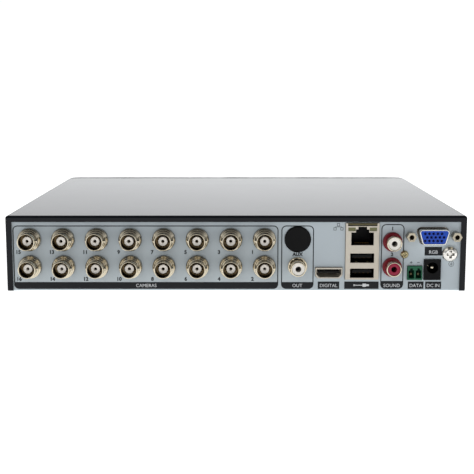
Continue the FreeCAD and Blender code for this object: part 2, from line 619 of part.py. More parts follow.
def phono_sockets():
    front = "-rca_out"
    shell = turned("rca_turned", [
        ("rca_bore", front), ("rca_radius - lip", front), ("rca_radius", f"{front} + lip"),
        ("rca_radius", "-rca_collar_out"), ("rca_radius - step_down", "-rca_collar_out"),
        ("rca_radius - step_down", "jack_back"), ("rca_bore", "jack_back")])
    core = turned("rca_core", [
        ("rca_pin", f"{front} + 0.4"), ("rca_bore", f"{front} + 0.4"), ("rca_bore", "jack_back"),
        ("0", "jack_back"), ("0", "1"), ("rca_pin", "1")])
    shells, cores = [], {}
    for name, (x, z) in phono_places().items():
        shells.append(copy(f"rca_shell_{name}", shell, x, "0", z))
        cores[name] = copy(f"rca_core_{name}", core, x, "0", z)
    ring = turned("rca_ring", [("rca_radius - step_down", "0"), ("rca_collar", "0"),
                               ("rca_collar", "jack_back"), ("rca_radius - step_down", "jack_back")])
    shells.append(copy("rca_ring_out", ring, "out_x", "0", "bnc_low"))
    node("rca_shells", shells)
    node("rca_insulators_white", [cores["out"], cores["high"]])
    node("rca_insulator_red", [cores["low"]])
    inside = "rca_radius - step_down"
    collar = turned("audio_collar", [
        (inside, "-rca_collar_out"), ("rca_collar - 0.4", "-rca_collar_out"),
        ("rca_collar", "-rca_collar_out + 0.4"), ("rca_collar", "jack_back + 1"), (inside, "jack_back + 1")])
    case = mid_block("audio_case", "audio_x", "jack_back", BOARD_TOP, "audio_case_wide", "audio_case_deep",
                     f"audio_high + audio_case_over - {BOARD_TOP}")
    collars = [copy(f"audio_collar_{level}", collar, "audio_x", "0", f"audio_{level}")
               for level in ("high", "low")]
    lug = block("audio_screw_lug", "audio_x + lug_in", "panel_in + sheet_thick", "audio_screw_z - lug_tall/2",
                "audio_screw_x - audio_x - lug_in + lug_past", "lug_deep", "lug_tall")
    joined = fuse("audio_joined", [case, lug] + collars)
    pocket = rod("audio_screw_pocket", "y", "audio_screw_x", "0", "audio_screw_z", "screw_radius", "9")
    node("audio_housing", [cut("audio_housing_drilled", joined, [pocket])])


# ---------------------------------------------------------------- digital sockets


def hdmi_outline(side, low, high):
    """A flat opening with both lower corners cut off, grown at its sides, foot and top."""
    half, foot = f"(hdmi_wide/2 + {side})", f"(hdmi_z - {low})"
    top = f"(hdmi_z + hdmi_tall + {high})"
    return [(f"hdmi_x - {half}", f"{foot} + hdmi_corner"), (f"hdmi_x - {half} + hdmi_corner", foot),
            (f"hdmi_x + {half} - hdmi_corner", foot), (f"hdmi_x + {half}", f"{foot} + hdmi_corner"),
            (f"hdmi_x + {half}", top), (f"hdmi_x - {half}", top)]


def hdmi_socket():
    shell = prism("hdmi_hull", "XZ_Plane", hdmi_outline("0", "0", "0"), "-0.2", "hdmi_deep")
    bore = prism("hdmi_bore", "XZ_Plane", hdmi_outline("(-hdmi_side)", "(-hdmi_floor)", "(-hdmi_roof)"), "-1",
                 "hdmi_deep")
    node("hdmi_shell", [cut("hdmi_bored", shell, [bore])])
    tongue = mid_block("tongue", "hdmi_x", "tongue_in", "hdmi_z + tongue_z", "hdmi_wide - 3.4",
                       "hdmi_deep - 1 - tongue_in", "tongue_tall")
    node("hdmi_tongue", [tongue])


def stack_cavities(name, spare, start):
    """Tools for the stepped network opening and the two serial-bus openings of the stack."""
    def opening(part, z, wide, deep, tall):
        return mid_block(f"{name}_{part}", "stack_x", start, f"{z} - {spare}", f"{wide} + 2*{spare}",
                         f"{deep} - ({start})", f"{tall} + 2*{spare}")
    network = [opening("network", "lan_z", "lan_wide", "lan_deep", "lan_tall"),
               opening("latch", "lan_z", "latch_wide", "lan_deep", "lan_tall + latch_tall"),
               opening("latch_top", "lan_z", "latch_top_wide", "lan_deep", "lan_tall + latch_top_tall")]
    tools = [fuse(f"{name}_network_joined", network)]
    for level in ("high", "low"):
        tools.append(opening(f"bus_{level}", f"usb_{level}", "usb_wide", "usb_deep", "usb_tall"))
    return tools


def lamp_blocks(name, start, spare):
    """Blocks where the two lamp windows of the network socket are."""
    return [mid_block(f"{name}_{side}", f"stack_x {sign} lamp_x", start, f"lamp_z - {spare}",
                      f"lamp_wide + 2*{spare}", f"lamp_deep - ({start})", f"lamp_tall + 2*{spare}")
            for side, sign in (("left", "-"), ("right", "+"))]


def network_stack():
    """One network socket above two serial-bus sockets in a folded metal cage."""
    outer = mid_block("cage_outer", "stack_x", "0", "stack_z", "stack_wide", "stack_deep", "stack_tall")
    inner = mid_block("cage_inner", "stack_x", "cage_thick", "stack_z + cage_thick",
                      "stack_wide - 2*cage_thick", "stack_deep", "stack_tall - 2*cage_thick")
    cage = cut("cage_shell", outer, [inner])
    spring = mid_block("spring_slot", "stack_x", "-1", "spring_z", "spring_wide", "1 + 2*cage_thick",
                       "spring_tall")
    slots = stack_cavities("cage", "0.05", "-1") + lamp_blocks("cage_lamp", "-1", "0.05") + [spring]
    node("lan_usb_cage", [cut("cage_opened", cage, slots)])
    core = mid_block("stack_core", "stack_x", "cage_thick", "stack_z + cage_thick",
                     "stack_wide - 2*cage_thick", "stack_deep - 2*cage_thick", "stack_tall - 2*cage_thick")
    pockets = stack_cavities("core", "0", "-1") + lamp_blocks("core_lamp", "-1", "0")
    tongues = [mid_block(f"bus_tongue_{level}", "stack_x", "bus_tongue_in", f"usb_{level} + usb_tall/2",
                         "bus_tongue_wide", "usb_deep - bus_tongue_in + 1", "bus_tongue_tall")
               for level in ("high", "low")]
    node("lan_usb_insert", [fuse("stack_core_tongued", [cut("stack_core_opened", core, pockets)] + tongues)])
    node("lan_lamps", lamp_blocks("lamp", "cage_thick/2", "0"))
    pieces = []
    for level in ("high", "low"):
        for number in range(4):
            pieces.append(mid_block(f"strip_{level}_{number}", f"stack_x + ({number} - 1.5)*strip_pitch",
                                    "bus_tongue_in + 1", f"usb_{level} + usb_tall/2 - strip_thick",
                                    "strip_wide", "usb_deep - bus_tongue_in - 1", "strip_thick"))
    for wire in range(8):
        pieces.append(mid_block(f"network_wire_{wire}", f"stack_x + ({wire} - 3.5)*wire_pitch", "wire_in",
                                "lan_z + lip", "wire_thick", "lan_deep - wire_in", "wire_thick"))
    node("lan_usb_contacts", pieces)


def vga_outline(grow):
    """The D shape of a 15-way socket: round corners, the sides drawn in towards the foot."""
    half, tall, bend = f"(vga_wide/2 + {grow})", f"(vga_tall/2 + {grow})", f"(vga_round + {grow})"
    corners = []
    for drawn, rise, angles in (("0", 1, (90, 60, 30, 0)), ("vga_draw", -1, (0, -30, -60, -90))):
        for angle in angles:
            across, up = math.cos(math.radians(angle)), math.sin(math.radians(angle))
            corners.append((f"({half} - {drawn} - {bend} + {bend}*{across:.4f})",
                            f"vga_z + {rise}*({tall} - {bend}) + {bend}*({up:.4f})"))
    right = [(f"vga_x + {x}", z) for x, z in corners]
    left = [(f"vga_x - {x}", z) for x, z in reversed(corners)]
    return right + left


def vga_socket():
    hull = prism("vga_hull", "XZ_Plane", vga_outline("0"), "-vga_out", "vga_out + jack_back")
    flange = mid_block("vga_flange", "vga_x", f"{PANEL_BACK} + lip", "vga_z - vga_flange_tall/2",
                       "vga_flange_wide", f"jack_back - {PANEL_BACK} - lip", "vga_flange_tall")
    tools = [prism("vga_bore", "XZ_Plane", vga_outline("(-vga_wall)"), "-vga_out - 1",
                   "vga_out + jack_back + 2")]
    tools += stud_holes("flange")
    node("vga_shell", [cut("vga_bored", fuse("vga_flanged", [hull, flange]), tools)])
    insert = prism("vga_core", "XZ_Plane", vga_outline("(-vga_wall)"), "-vga_out + lip",
                   "vga_out + jack_back - lip")
    holes = []
    for row, shift in enumerate((0, 0.5, 0)):
        for column in range(5):
            x = f"vga_x + ({column} - 2.25 + {shift})*vga_pin_pitch"
            holes.append(rod(f"vga_hole_{row}_{column}", "y", x, "-vga_out",
                             f"vga_z + (1 - {row})*vga_row_pitch", "vga_pin", "vga_out"))
    behind = mid_block("vga_block", "vga_x", "jack_back", "vga_z - vga_flange_tall/2", "vga_flange_wide",
                       "vga_block_deep", "vga_flange_tall")
    node("vga_insert", [cut("vga_core_drilled", insert, holes),
                        cut("vga_block_bored", behind, stud_holes("block"))])
    node("vga_jackscrews", [vga_post(side, across) for side, across in vga_post_places()])


def vga_post_places():
    return [("left", "vga_x - vga_post_pitch/2"), ("right", "vga_x + vga_post_pitch/2")]


def stud_holes(name):
    return [rod(f"vga_{name}_bore_{side}", "y", across, "0", "vga_z", "vga_stud + 0.1",
                "vga_stud_long + 4")
            for side, across in vga_post_places()]


def vga_post(side, across):
    """A hexagonal post with a tapped hole and a threaded stud behind."""
    head = doc.addObject("Part::Prism", f"vga_hex_{side}")
    head.Polygon = 6
    bind(head, "Circumradius", "vga_post_flats/2/0.866")
    bind(head, "Height", "vga_out + panel_in")
    place(head, across, "-vga_out", "vga_z", ALONG["y"])
    stud = rod(f"vga_stud_{side}", "y", across, "0", "vga_z", "vga_stud", "vga_stud_long")
    bore = rod(f"vga_tap_{side}", "y", across, "-vga_out - 1", "vga_z", "vga_post_bore", "vga_tap")
    return cut(f"vga_post_{side}", fuse(f"vga_post_solid_{side}", [head, stud]), [bore])


def serial_header():
    """Two-way pluggable terminal header."""
    body = mid_block("serial_body", "serial_x", "-case_proud", "serial_z", "serial_wide", "serial_deep",
                     "serial_tall")
    cavities, pins = [], []
    for number, sign in enumerate("-+"):
        x = f"serial_x {sign} serial_pitch/2"
        well = mid_block(f"serial_well_{number}", x, "-1 - case_proud", "serial_z + well_low", "well_wide",
                         "1 + well_deep", "well_tall")
        key = mid_block(f"serial_key_{number}", x, "-1 - case_proud", "serial_z + well_low", "notch_wide",
                        "1 + well_deep", "notch_top - well_low")
        cavities.append(fuse(f"serial_cavity_{number}", [well, key]))
        pins.append(mid_block(f"serial_pin_{number}", x, "serial_pin_in", "serial_z + serial_pin_z",
                              "serial_pin", "serial_pin_long", "serial_pin"))
    node("rs485_header", [cut("serial_hollow", body, cavities)])
    node("rs485_pins", pins)


def power_inlet():
    """Barrel socket for the mains adapter, with a round-nosed pin."""
    case = mid_block("power_case", "power_in_x", "-case_proud", BOARD_TOP, "power_in_wide", "power_in_deep",
                     f"power_in_z + power_in_wide/2 - {BOARD_TOP}")
    bore = rod("power_bore", "y", "power_in_x", "-1", "power_in_z", "power_in_bore", "1 + power_in_hole")
    node("dc_jack_housing", [cut("power_case_bored", case, [bore])])
    nose = [(f"power_in_pin*{math.sin(math.radians(angle)):.4f}",
             f"pin_in + pin_nose*{1 - math.cos(math.radians(angle)):.4f}") for angle in (30, 60, 90)]
    foot = [("power_in_pin", "power_in_hole"), ("0", "power_in_hole")]
    pin = turned("power_pin", [("0", "pin_in")] + nose + foot)
    node("dc_jack_pin", [copy("power_pin_copy", pin, "power_in_x", "0", "power_in_z")])


# ---------------------------------------------------------------- main board and what it carries

def main_board():
    corners = rectangle("-board_half", "board_half", "board_rear", "board_front")
    plate = prism("board_plate", "XY_Plane", corners, "board_z", "board_thick")
    holes = [rod(f"board_hole_{name}", "z", x, y, "board_z - 1", "screw_radius + 0.1", "4")
             for name, x, y in post_places()]
    node("main_board", [cut("board_drilled", plate, holes)])


def board_parts():
    chips = []
    layout = {"video_chip_a": (-86, 44, 14, 14), "video_chip_b": (-42, 44, 14, 14),
              "memory_a": (20, 40, 9, 13), "memory_b": (20, 60, 9, 13), "flash": (96, 72, 6, 5),
              "network_chip": (84, 34, 9, 9), "driver_chip": (-4, 78, 12, 5)}
    for name, (x, y, wide, deep) in layout.items():
        chips.append(mid_block(name, str(x), str(y), BOARD_TOP, str(wide), str(deep), "chip_tall"))
    chips.append(mid_block("processor", "fan_x", "fan_y - processor_side/2", BOARD_TOP, "processor_side",
                           "processor_side", "processor_tall"))
    node("board_chips", chips)
    cans = []
    for number, (x, y, radius, tall) in enumerate(((-100, 72, 4, 11), (-88, 72, 4, 11), (100, 45, 4, 11),
                                                   (104, 56, 3.1, 8), (-60, 80, 3.1, 8), (8, 30, 3.1, 8))):
        cans.append(rod(f"can_{number}", "z", str(x), str(y), BOARD_TOP, str(radius), str(tall)))
    node("board_capacitors", cans)
    seat = f"{BOARD_TOP} + cell_up"
    ring = rod("cell_ring", "z", "cell_x", "cell_y", BOARD_TOP, "cell_radius + holder_wall", "cell_thick")
    well = rod("cell_well", "z", "cell_x", "cell_y", seat, "cell_radius + 0.1", "cell_thick")
    cell = rod("cell", "z", "cell_x", "cell_y", seat, "cell_radius", "cell_thick")
    node("coin_cell", [cut("cell_holder", ring, [well]), cell])


def heatsink():
    base = mid_block("sink_base", "fan_x", "fan_y - fan_side/2", f"{BOARD_TOP} + sink_up", "fan_side",
                     "fan_side", "sink_thick")
    fins = []
    for number in range(-4, 5):
        fins.append(mid_block(f"fin_{number + 4}", f"fan_x + {number}*fin_pitch", "fan_y - fan_side/2",
                              f"{BOARD_TOP} + sink_up + sink_thick/2", "fin_thick", "fan_side",
                              f"fan_z - {BOARD_TOP} - sink_up - sink_thick/2"))
    node("heatsink", [fuse("sink_joined", [base] + fins)])


def fan():
    frame = mid_block("fan_block", "fan_x", "fan_y - fan_side/2", "fan_z", "fan_side", "fan_side", "fan_deep")
    tools = [rod("fan_bore_tool", "z", "fan_x", "fan_y", "fan_z - 1", "fan_bore", "fan_deep + 2")]
    corner = "(fan_side/2 - fan_corner)"
    for name, x, y in (("a", "-", "-"), ("b", "-", "+"), ("c", "+", "-"), ("d", "+", "+")):
        tools.append(rod(f"fan_corner_{name}", "z", f"fan_x {x} {corner}", f"fan_y {y} {corner}",
                         "fan_z - 1", "screw_play", "fan_deep + 2"))
    ring = cut("fan_ring", frame, tools)
    plate = rod("fan_motor_plate", "z", "fan_x", "fan_y", "fan_z", "fan_hub + 0.5", "arm_thick")
    arms = [mid_block("fan_arm_x", "fan_x", "fan_y - arm_wide/2", "fan_z", "2*fan_bore + 0.8", "arm_wide",
                      "arm_thick"),
            mid_block("fan_arm_y", "fan_x", "fan_y - fan_bore - 0.4", "fan_z", "arm_wide", "2*fan_bore + 0.8",
                      "arm_thick")]
    shaft = rod("fan_spindle", "z", "fan_x", "fan_y", "fan_z + 1", "fan_shaft", "fan_deep - 3")
    node("fan_frame", [fuse("fan_frame_joined", [ring, plate, shaft] + arms)])
    start, tall = "fan_z + arm_thick + rotor_gap", "fan_deep - 2"
    hub = rod("rotor_hub", "z", "0", "0", start, "fan_hub", tall)
    blades = []
    for number in range(7):
        spin = Rotation(Vector(0, 0, 1), number * 360 / 7)
        pitch = Rotation(Vector(1, 0, 0), 38)
        blade = block(f"blade_{number}", "0", "0", "0", "fan_blade_reach + 2", "blade_deep", "blade_thick",
                      spin * pitch)
        middle = Vector(0, -SIZES["blade_deep"] / 2, -SIZES["blade_thick"] / 2)
        offset = (spin * pitch).multVec(middle)
        bind(blade, "Placement.Base.x", f"{offset.x:.4f}")
        bind(blade, "Placement.Base.y", f"{offset.y:.4f}")
        bind(blade, "Placement.Base.z", f"fan_z + fan_deep/2 + 0.6 + ({offset.z:.4f})")
        blades.append(blade)
    swept = fuse("rotor_raw", [hub] + blades)
    limit = rod("rotor_limit", "z", "0", "0", start, "fan_blade_reach", tall)
    trimmed = doc.addObject("Part::Common", "rotor_trimmed")
    trimmed.Base, trimmed.Tool = swept, limit
    bore = rod("rotor_bore", "z", "0", "0", "fan_z", "fan_shaft + 0.3", "fan_deep - 1.2")
    rotor = cut("rotor_bored", trimmed, [bore])
    node("fan_rotor", [copy("rotor_copy", rotor, "fan_x", "fan_y", "0")])


# ---------------------------------------------------------------- hard disk and leads


def hard_disk():
    body = prism("disk_block", "XY_Plane", [
        ("disk_x", "disk_y"), ("disk_x + disk_long", "disk_y"),
        ("disk_x + disk_long", "disk_y + disk_wide"), ("disk_x", "disk_y + disk_wide")],
        "disk_z", "disk_tall")
    upright = SIZES["disk_tall"] - 0.01
    rounded(body, "disk_corner", lambda box: box.ZLength > upright)
    tools = [rod(f"disk_tap_{name}", "z", x, y, "disk_z - 1", "screw_radius + 0.1", "6")
             for name, x, y in disk_places()]
    tools.append(block("disk_pocket", "disk_x + 20", "disk_y + 10", "disk_z - 1", "disk_long - 19",
                       "disk_wide - 20", "1 + disk_pocket_tall"))
    tools.append(block("disk_rim_cut", "disk_x + disk_rim", "disk_y + disk_rim",
                       "disk_z + disk_tall - disk_lid_sunk", "disk_long - 2*disk_rim",
                       "disk_wide - 2*disk_rim", "2*disk_lid_sunk"))
    node("disk_casting", [cut("disk_cast", body, tools)])
    board = block("disk_green_board", "disk_x + 22", "disk_y + 12", "disk_z", "disk_long - 28",
                  "disk_wide - 24", "1.6")
    socket = block("disk_socket", "disk_x + disk_long - 6", "disk_y + 14", "disk_z", "5.8", "44", "3.2")
    node("disk_board", [fuse("disk_board_joined", [board, socket])])


def bent_lead(name, start_x, radius, end_y):
    """A round lead in one level plane: towards the front, a quarter turn, then to the disk."""
    plug_front = "(disk_x + disk_long + plug_deep)"
    run = rod(f"{name}_run", "y", start_x, "board_front + 3", "lead_z", "lead_radius",
              f"{end_y} - {radius} - board_front - 3")
    turn = doc.addObject("Part::Torus", f"{name}_turn")
    bind(turn, "Radius1", radius)
    bind(turn, "Radius2", "lead_radius")
    turn.Angle3 = 90
    place(turn, f"{start_x} - {radius}", f"{end_y} - {radius}", "lead_z")
    reach = rod(f"{name}_reach", "x", plug_front, end_y, "lead_z", "lead_radius",
                f"{start_x} - {radius} - {plug_front}")
    return fuse(name, [run, turn, reach])


def disk_leads():
    """The data lead and the power lead, with a plug block on each end of both."""
    runs = {"data_lead": ("data_lead_x", "data_lead_bend", "data_lead_y"),
            "power_lead": ("power_lead_x", "power_lead_bend", "power_lead_y")}
    leads, plugs = [], []
    for name, (start_x, radius, end_y) in runs.items():
        leads.append(bent_lead(name, start_x, radius, end_y))
        plugs.append(mid_block(f"{name}_board_plug", start_x, "board_front + 3 - plug_wide", BOARD_TOP, "9",
                               "plug_wide", "plug_tall"))
        plugs.append(block(f"{name}_disk_plug", "disk_x + disk_long", f"{end_y} - plug_wide/2",
                           "lead_z - plug_tall/2", "plug_deep", "plug_wide", "plug_tall"))
    node("disk_leads", leads)
    node("disk_plugs", plugs)
    under = [("board_front", "ribbon_high"), ("board_front + ribbon_run", "ribbon_low"),
             ("tray_front - ribbon_run", "ribbon_low"), ("front_board_y", "ribbon_high + 0.5")]
    over = [(y, f"{z} + ribbon_thick") for y, z in reversed(under)]
    ribbon = prism("ribbon_strip", "YZ_Plane", under + over, "ribbon_x - ribbon_wide/2", "ribbon_wide")
    node("front_ribbon", [ribbon])


# ---------------------------------------------------------------- assembly


def main():
    base_chassis()
    top_cover()
    front_bezel()
    front_keys()
    front_board()
    rubber_feet()
    fasteners()
    video_sockets()
    blanking_plug()
    phono_sockets()
    hdmi_socket()
    network_stack()
    vga_socket()
    serial_header()
    power_inlet()
    main_board()
    board_parts()
    heatsink()
    fan()
    hard_disk()
    disk_leads()
    doc.recompute()
    check()
    write()


def check():
    """Stops on a failed feature, an empty or broken shape, or a tool that removed nothing."""
    for item in doc.Objects:
        if {"Invalid", "Error"} & set(item.State):
            raise RuntimeError(f"{item.Name} failed: {item.State}")
    for item in CUTS:
        removed = item.Base.Shape.Volume - item.Shape.Volume
        if removed < 0.01:
            raise RuntimeError(f"{item.Name} removed {removed:.4f} cubic mm")
    for item in NODES:
        if item.Shape.isNull() or not item.Shape.isValid() or not item.Shape.Solids:
            raise RuntimeError(f"{item.Label} has no sound shape")


def write():
    os.makedirs("parts", exist_ok=True)
    for item in NODES:
        item.Shape.exportStep(f"parts/{item.Label}.step")
        print(item.Label, len(item.Shape.Solids), round(item.Shape.Volume, 1))


main()
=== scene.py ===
import math
import random

import bmesh
import bpy
from mathutils import Euler, Matrix, Vector


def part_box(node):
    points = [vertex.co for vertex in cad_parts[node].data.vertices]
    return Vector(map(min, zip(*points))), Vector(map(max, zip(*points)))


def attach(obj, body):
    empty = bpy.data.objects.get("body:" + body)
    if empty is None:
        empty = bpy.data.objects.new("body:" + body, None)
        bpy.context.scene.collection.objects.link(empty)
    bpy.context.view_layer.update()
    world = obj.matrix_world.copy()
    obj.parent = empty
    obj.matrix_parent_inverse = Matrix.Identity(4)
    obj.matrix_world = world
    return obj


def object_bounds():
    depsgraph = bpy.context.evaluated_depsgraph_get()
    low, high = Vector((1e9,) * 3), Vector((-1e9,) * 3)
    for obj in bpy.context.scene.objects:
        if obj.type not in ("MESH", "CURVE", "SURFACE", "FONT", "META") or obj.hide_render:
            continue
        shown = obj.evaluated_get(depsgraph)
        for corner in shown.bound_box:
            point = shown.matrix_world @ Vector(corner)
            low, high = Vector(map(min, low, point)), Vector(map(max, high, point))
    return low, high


# Looks of a sixteen-input video recorder.  Metres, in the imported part's frame: X right as the
# socket panel is faced, Y from the socket panel to the front, Z up from the surface it stands on.

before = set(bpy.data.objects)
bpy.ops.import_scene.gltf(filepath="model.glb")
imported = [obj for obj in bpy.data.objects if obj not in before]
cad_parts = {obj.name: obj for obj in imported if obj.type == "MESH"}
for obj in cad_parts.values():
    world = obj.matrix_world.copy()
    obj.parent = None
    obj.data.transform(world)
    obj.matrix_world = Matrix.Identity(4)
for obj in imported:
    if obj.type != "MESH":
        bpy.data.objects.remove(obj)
cad_low, cad_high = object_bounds()

MM = 0.001
WELD = 0.0001 * MM
CHASSIS = "chassis"
RIM_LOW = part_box("top_cover")[0]
PANEL_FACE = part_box("base_chassis")[0].y
CASE_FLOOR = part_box("base_chassis")[0].z
BOARD_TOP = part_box("main_board")[1].z
FRONT_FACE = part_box("front_bezel")[1].y
KEYS = ("up_key", "down_key", "left_key", "right_key", "enter_key", "power_key")


def middle(node):
    low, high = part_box(node)
    return (low + high) / 2


def solids_of(node):
    """The box of each separate solid in a node, as (lowest corner, highest corner)."""
    work = bmesh.new()
    work.from_mesh(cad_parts[node].data)
    bmesh.ops.remove_doubles(work, verts=work.verts, dist=WELD)
    found, seen = [], set()
    for start in work.verts:
        if start in seen:
            continue
        seen.add(start)
        reached = [start]
        for vert in reached:
            for edge in vert.link_edges:
                other = edge.other_vert(vert)
                if other not in seen:
                    seen.add(other)
                    reached.append(other)
        low = Vector([min(vert.co[axis] for vert in reached) for axis in range(3)])
        high = Vector([max(vert.co[axis] for vert in reached) for axis in range(3)])
        found.append((low, high))
    work.free()
    return found


# ---------------------------------------------------------------- procedural materials


def linear(red, green, blue):
    """A display colour, 0 to 255 a channel, as scene-linear RGBA."""
    channels = []
    for value in (red, green, blue):
        share = value / 255
        channels.append(share / 12.92 if share <= 0.04045 else ((share + 0.055) / 1.055) ** 2.4)
    return (*channels, 1.0)


def scaled(color, factor):
    return (*[min(1.0, channel * factor) for channel in color[:3]], 1.0)


def new_node(tree, kind, **inputs):
    node = tree.nodes.new(kind)
    for name, value in inputs.items():
        node.inputs[name.replace("_", " ")].default_value = value
    return node


def noise(tree, coordinates, scale, detail=3.0, rough=0.6):
    node = new_node(tree, "ShaderNodeTexNoise", Scale=scale, Detail=detail, Roughness=rough)
    tree.links.new(coordinates, node.inputs["Vector"])
    return node.outputs["Fac"]


def between(tree, factor, low, high):
    """Maps a 0-1 texture onto a range."""
    node = new_node(tree, "ShaderNodeMapRange", From_Min=0.3, From_Max=0.7, To_Min=low, To_Max=high)
    tree.links.new(factor, node.inputs["Value"])
    return node.outputs["Result"]


def blend_colors(tree, factor, first, second):
    node = tree.nodes.new("ShaderNodeMix")
    node.data_type = "RGBA"
    tree.links.new(factor, node.inputs["Factor"])
    for socket, value in ((node.inputs["A"], first), (node.inputs["B"], second)):
        if hasattr(value, "is_output"):
            tree.links.new(value, socket)
        else:
            socket.default_value = value
    return node.outputs["Result"]


def in_recess(tree, color, reach, shade_color):
    """Darkens a colour towards a given shade in holes, grooves and close to other parts: painted shade,
    from ambient occlusion.
    """
    occlusion = new_node(tree, "ShaderNodeAmbientOcclusion", Distance=reach)
    occlusion.samples = 16
    shade_share = new_node(tree, "ShaderNodeMapRange", From_Min=0.25, From_Max=0.8)
    tree.links.new(occlusion.outputs["AO"], shade_share.inputs["Value"])
    return blend_colors(tree, shade_share.outputs["Result"], shade_color, color)


def coated(name, color, rough=0.5, metal=0.0, patch=60.0, spread=0.08, grain=2600.0, bump=0.15,
           ior=1.4, coat=0.0, streak=None, rough_spread=0.06, recess=None, reach=0.004):
    """A painted, moulded or plated surface: cloudy colour, fine grain, uneven gloss, and painted shade in
    hollows when a recess colour is given.
    """
    material = bpy.data.materials.new(name)
    material.use_nodes = True
    tree = material.node_tree
    shader = tree.nodes["Principled BSDF"]
    where = tree.nodes.new("ShaderNodeTexCoord").outputs["Object"]
    if streak:
        stretch = tree.nodes.new("ShaderNodeMapping")
        stretch.inputs["Scale"].default_value = streak
        tree.links.new(where, stretch.inputs["Vector"])
        where = stretch.outputs["Vector"]
    cloud = noise(tree, where, patch)
    speck = noise(tree, where, grain, 2.0)
    darker, lighter, fleck = (scaled(color, 1 + share * spread) for share in (-1, 1, 2))
    body = blend_colors(tree, between(tree, cloud, 0.0, 1.0), darker, lighter)
    flecked = blend_colors(tree, between(tree, speck, 0.0, 0.35), body, fleck)
    if recess:
        # painted shade: the colour darkens towards the recess colour where little of the surroundings is
        # open
        flecked = in_recess(tree, flecked, reach, recess)
    tree.links.new(flecked, shader.inputs["Base Color"])
    low, high = max(0.02, rough - rough_spread), min(1.0, rough + rough_spread)
    tree.links.new(between(tree, cloud, low, high), shader.inputs["Roughness"])
    shader.inputs["Metallic"].default_value = metal
    shader.inputs["IOR"].default_value = ior
    shader.inputs["Coat Weight"].default_value = coat
    relief = new_node(tree, "ShaderNodeBump", Strength=bump, Distance=0.00005)
    tree.links.new(speck, relief.inputs["Height"])
    tree.links.new(relief.outputs["Normal"], shader.inputs["Normal"])
    return material


def glowing(name, color, strength):
    """A clear lamp window with a little light of its own."""
    material = coated(name, color, 0.2, coat=0.5)
    shader = material.node_tree.nodes["Principled BSDF"]
    shader.inputs["Emission Color"].default_value = color
    shader.inputs["Emission Strength"].default_value = strength
    return material


def circuit_board(name, mask, copper):
    """Solder mask with fine copper runs and vias under it."""
    material = coated(name, mask, 0.35, patch=90.0, coat=0.3)
    tree = material.node_tree
    shader = tree.nodes["Principled BSDF"]
    where = tree.nodes.new("ShaderNodeTexCoord").outputs["Object"]
    run = new_node(tree, "ShaderNodeTexBrick", Scale=160.0, Mortar_Size=0.035, Brick_Width=0.9,
                   Row_Height=0.16)
    tree.links.new(where, run.inputs["Vector"])
    via = new_node(tree, "ShaderNodeTexVoronoi", Scale=190.0)
    tree.links.new(where, via.inputs["Vector"])
    dot = new_node(tree, "ShaderNodeMapRange", From_Min=0.12, From_Max=0.16, To_Min=1.0, To_Max=0.0)
    tree.links.new(via.outputs["Distance"], dot.inputs["Value"])
    tracks = blend_colors(tree, run.outputs["Fac"], mask, scaled(mask, 1.7))
    dotted = blend_colors(tree, dot.outputs["Result"], tracks, copper)
    tree.links.new(dotted, shader.inputs["Base Color"])
    return material


COVER = coated("cover_coat", linear(20, 22, 27), 0.12, patch=40, spread=0.05, bump=0.01, ior=1.26,
               rough_spread=0.006)
PANEL_PAINT = coated("panel_paint", linear(184, 194, 200), 0.5, patch=30, spread=0.015, bump=0.05)
# painted shade: the recess colour of each plated or moulded material below darkens it in holes, grooves and
# close to other parts
NICKEL = coated("nickel_plate", linear(214, 204, 182), 0.17, metal=1.0, patch=300, spread=0.06, bump=0.04,
                rough_spread=0.04, recess=linear(78, 65, 45), reach=0.007)
BRIGHT = coated("bright_plate", linear(236, 234, 228), 0.24, metal=1.0, patch=300, spread=0.04, bump=0.04,
                recess=linear(58, 48, 34), reach=0.002)
POST = coated("post_plate", linear(172, 164, 146), 0.26, metal=1.0, patch=300, spread=0.08, bump=0.04,
              recess=linear(46, 38, 26), reach=0.003)
TIN = coated("tin_plate", linear(200, 193, 180), 0.42, metal=0.6, patch=150, spread=0.05, bump=0.08)
ZINC = coated("zinc_plate", linear(190, 190, 188), 0.3, metal=1.0, patch=200, spread=0.08)
BRASSY = coated("yellow_zinc", linear(184, 172, 132), 0.3, metal=1.0, patch=300, spread=0.12,
                recess=linear(34, 26, 12), reach=0.0012)
# a darker, olive copy of the tin plate: painted shade on the springs and pins that sit inside the sockets
PAINTED_SHADE_TIN = coated("painted_shade_tin", linear(92, 86, 62), 0.45, metal=0.8, patch=300, spread=0.1)
GOLD = coated("gold_flash", linear(216, 172, 92), 0.25, metal=1.0, patch=300, spread=0.08,
              recess=linear(22, 16, 8), reach=0.002)
# a darker copy of the gold: painted shade on the contacts deep inside the network, serial-bus and digital
# sockets, with more painted shade in their recesses
PAINTED_SHADE_GOLD = coated("painted_shade_gold", linear(120, 92, 48), 0.35, metal=1.0, patch=300, spread=0.1,
                  recess=linear(16, 12, 6), reach=0.003)
BLACK = coated("black_moulding", linear(8, 8, 9), 0.42, patch=120, spread=0.12, bump=0.12, ior=1.22)
# painted shade in the centre holes of the sound sockets, from the recess colours of these two mouldings
WHITE = coated("white_moulding", linear(240, 236, 228), 0.45, patch=200, spread=0.03,
               recess=linear(20, 18, 16), reach=0.003)
DIELECTRIC = coated("socket_dielectric", linear(252, 247, 240), 0.4, patch=200, spread=0.02)
CRIMSON = coated("crimson_moulding", linear(150, 20, 56), 0.35, patch=200, spread=0.08,
                 recess=linear(24, 6, 12), reach=0.003)
MAROON = coated("maroon_moulding", linear(118, 12, 30), 0.4, patch=200, spread=0.08)
BLUE = coated("blue_moulding", linear(3, 68, 178), 0.42, patch=200, spread=0.08)
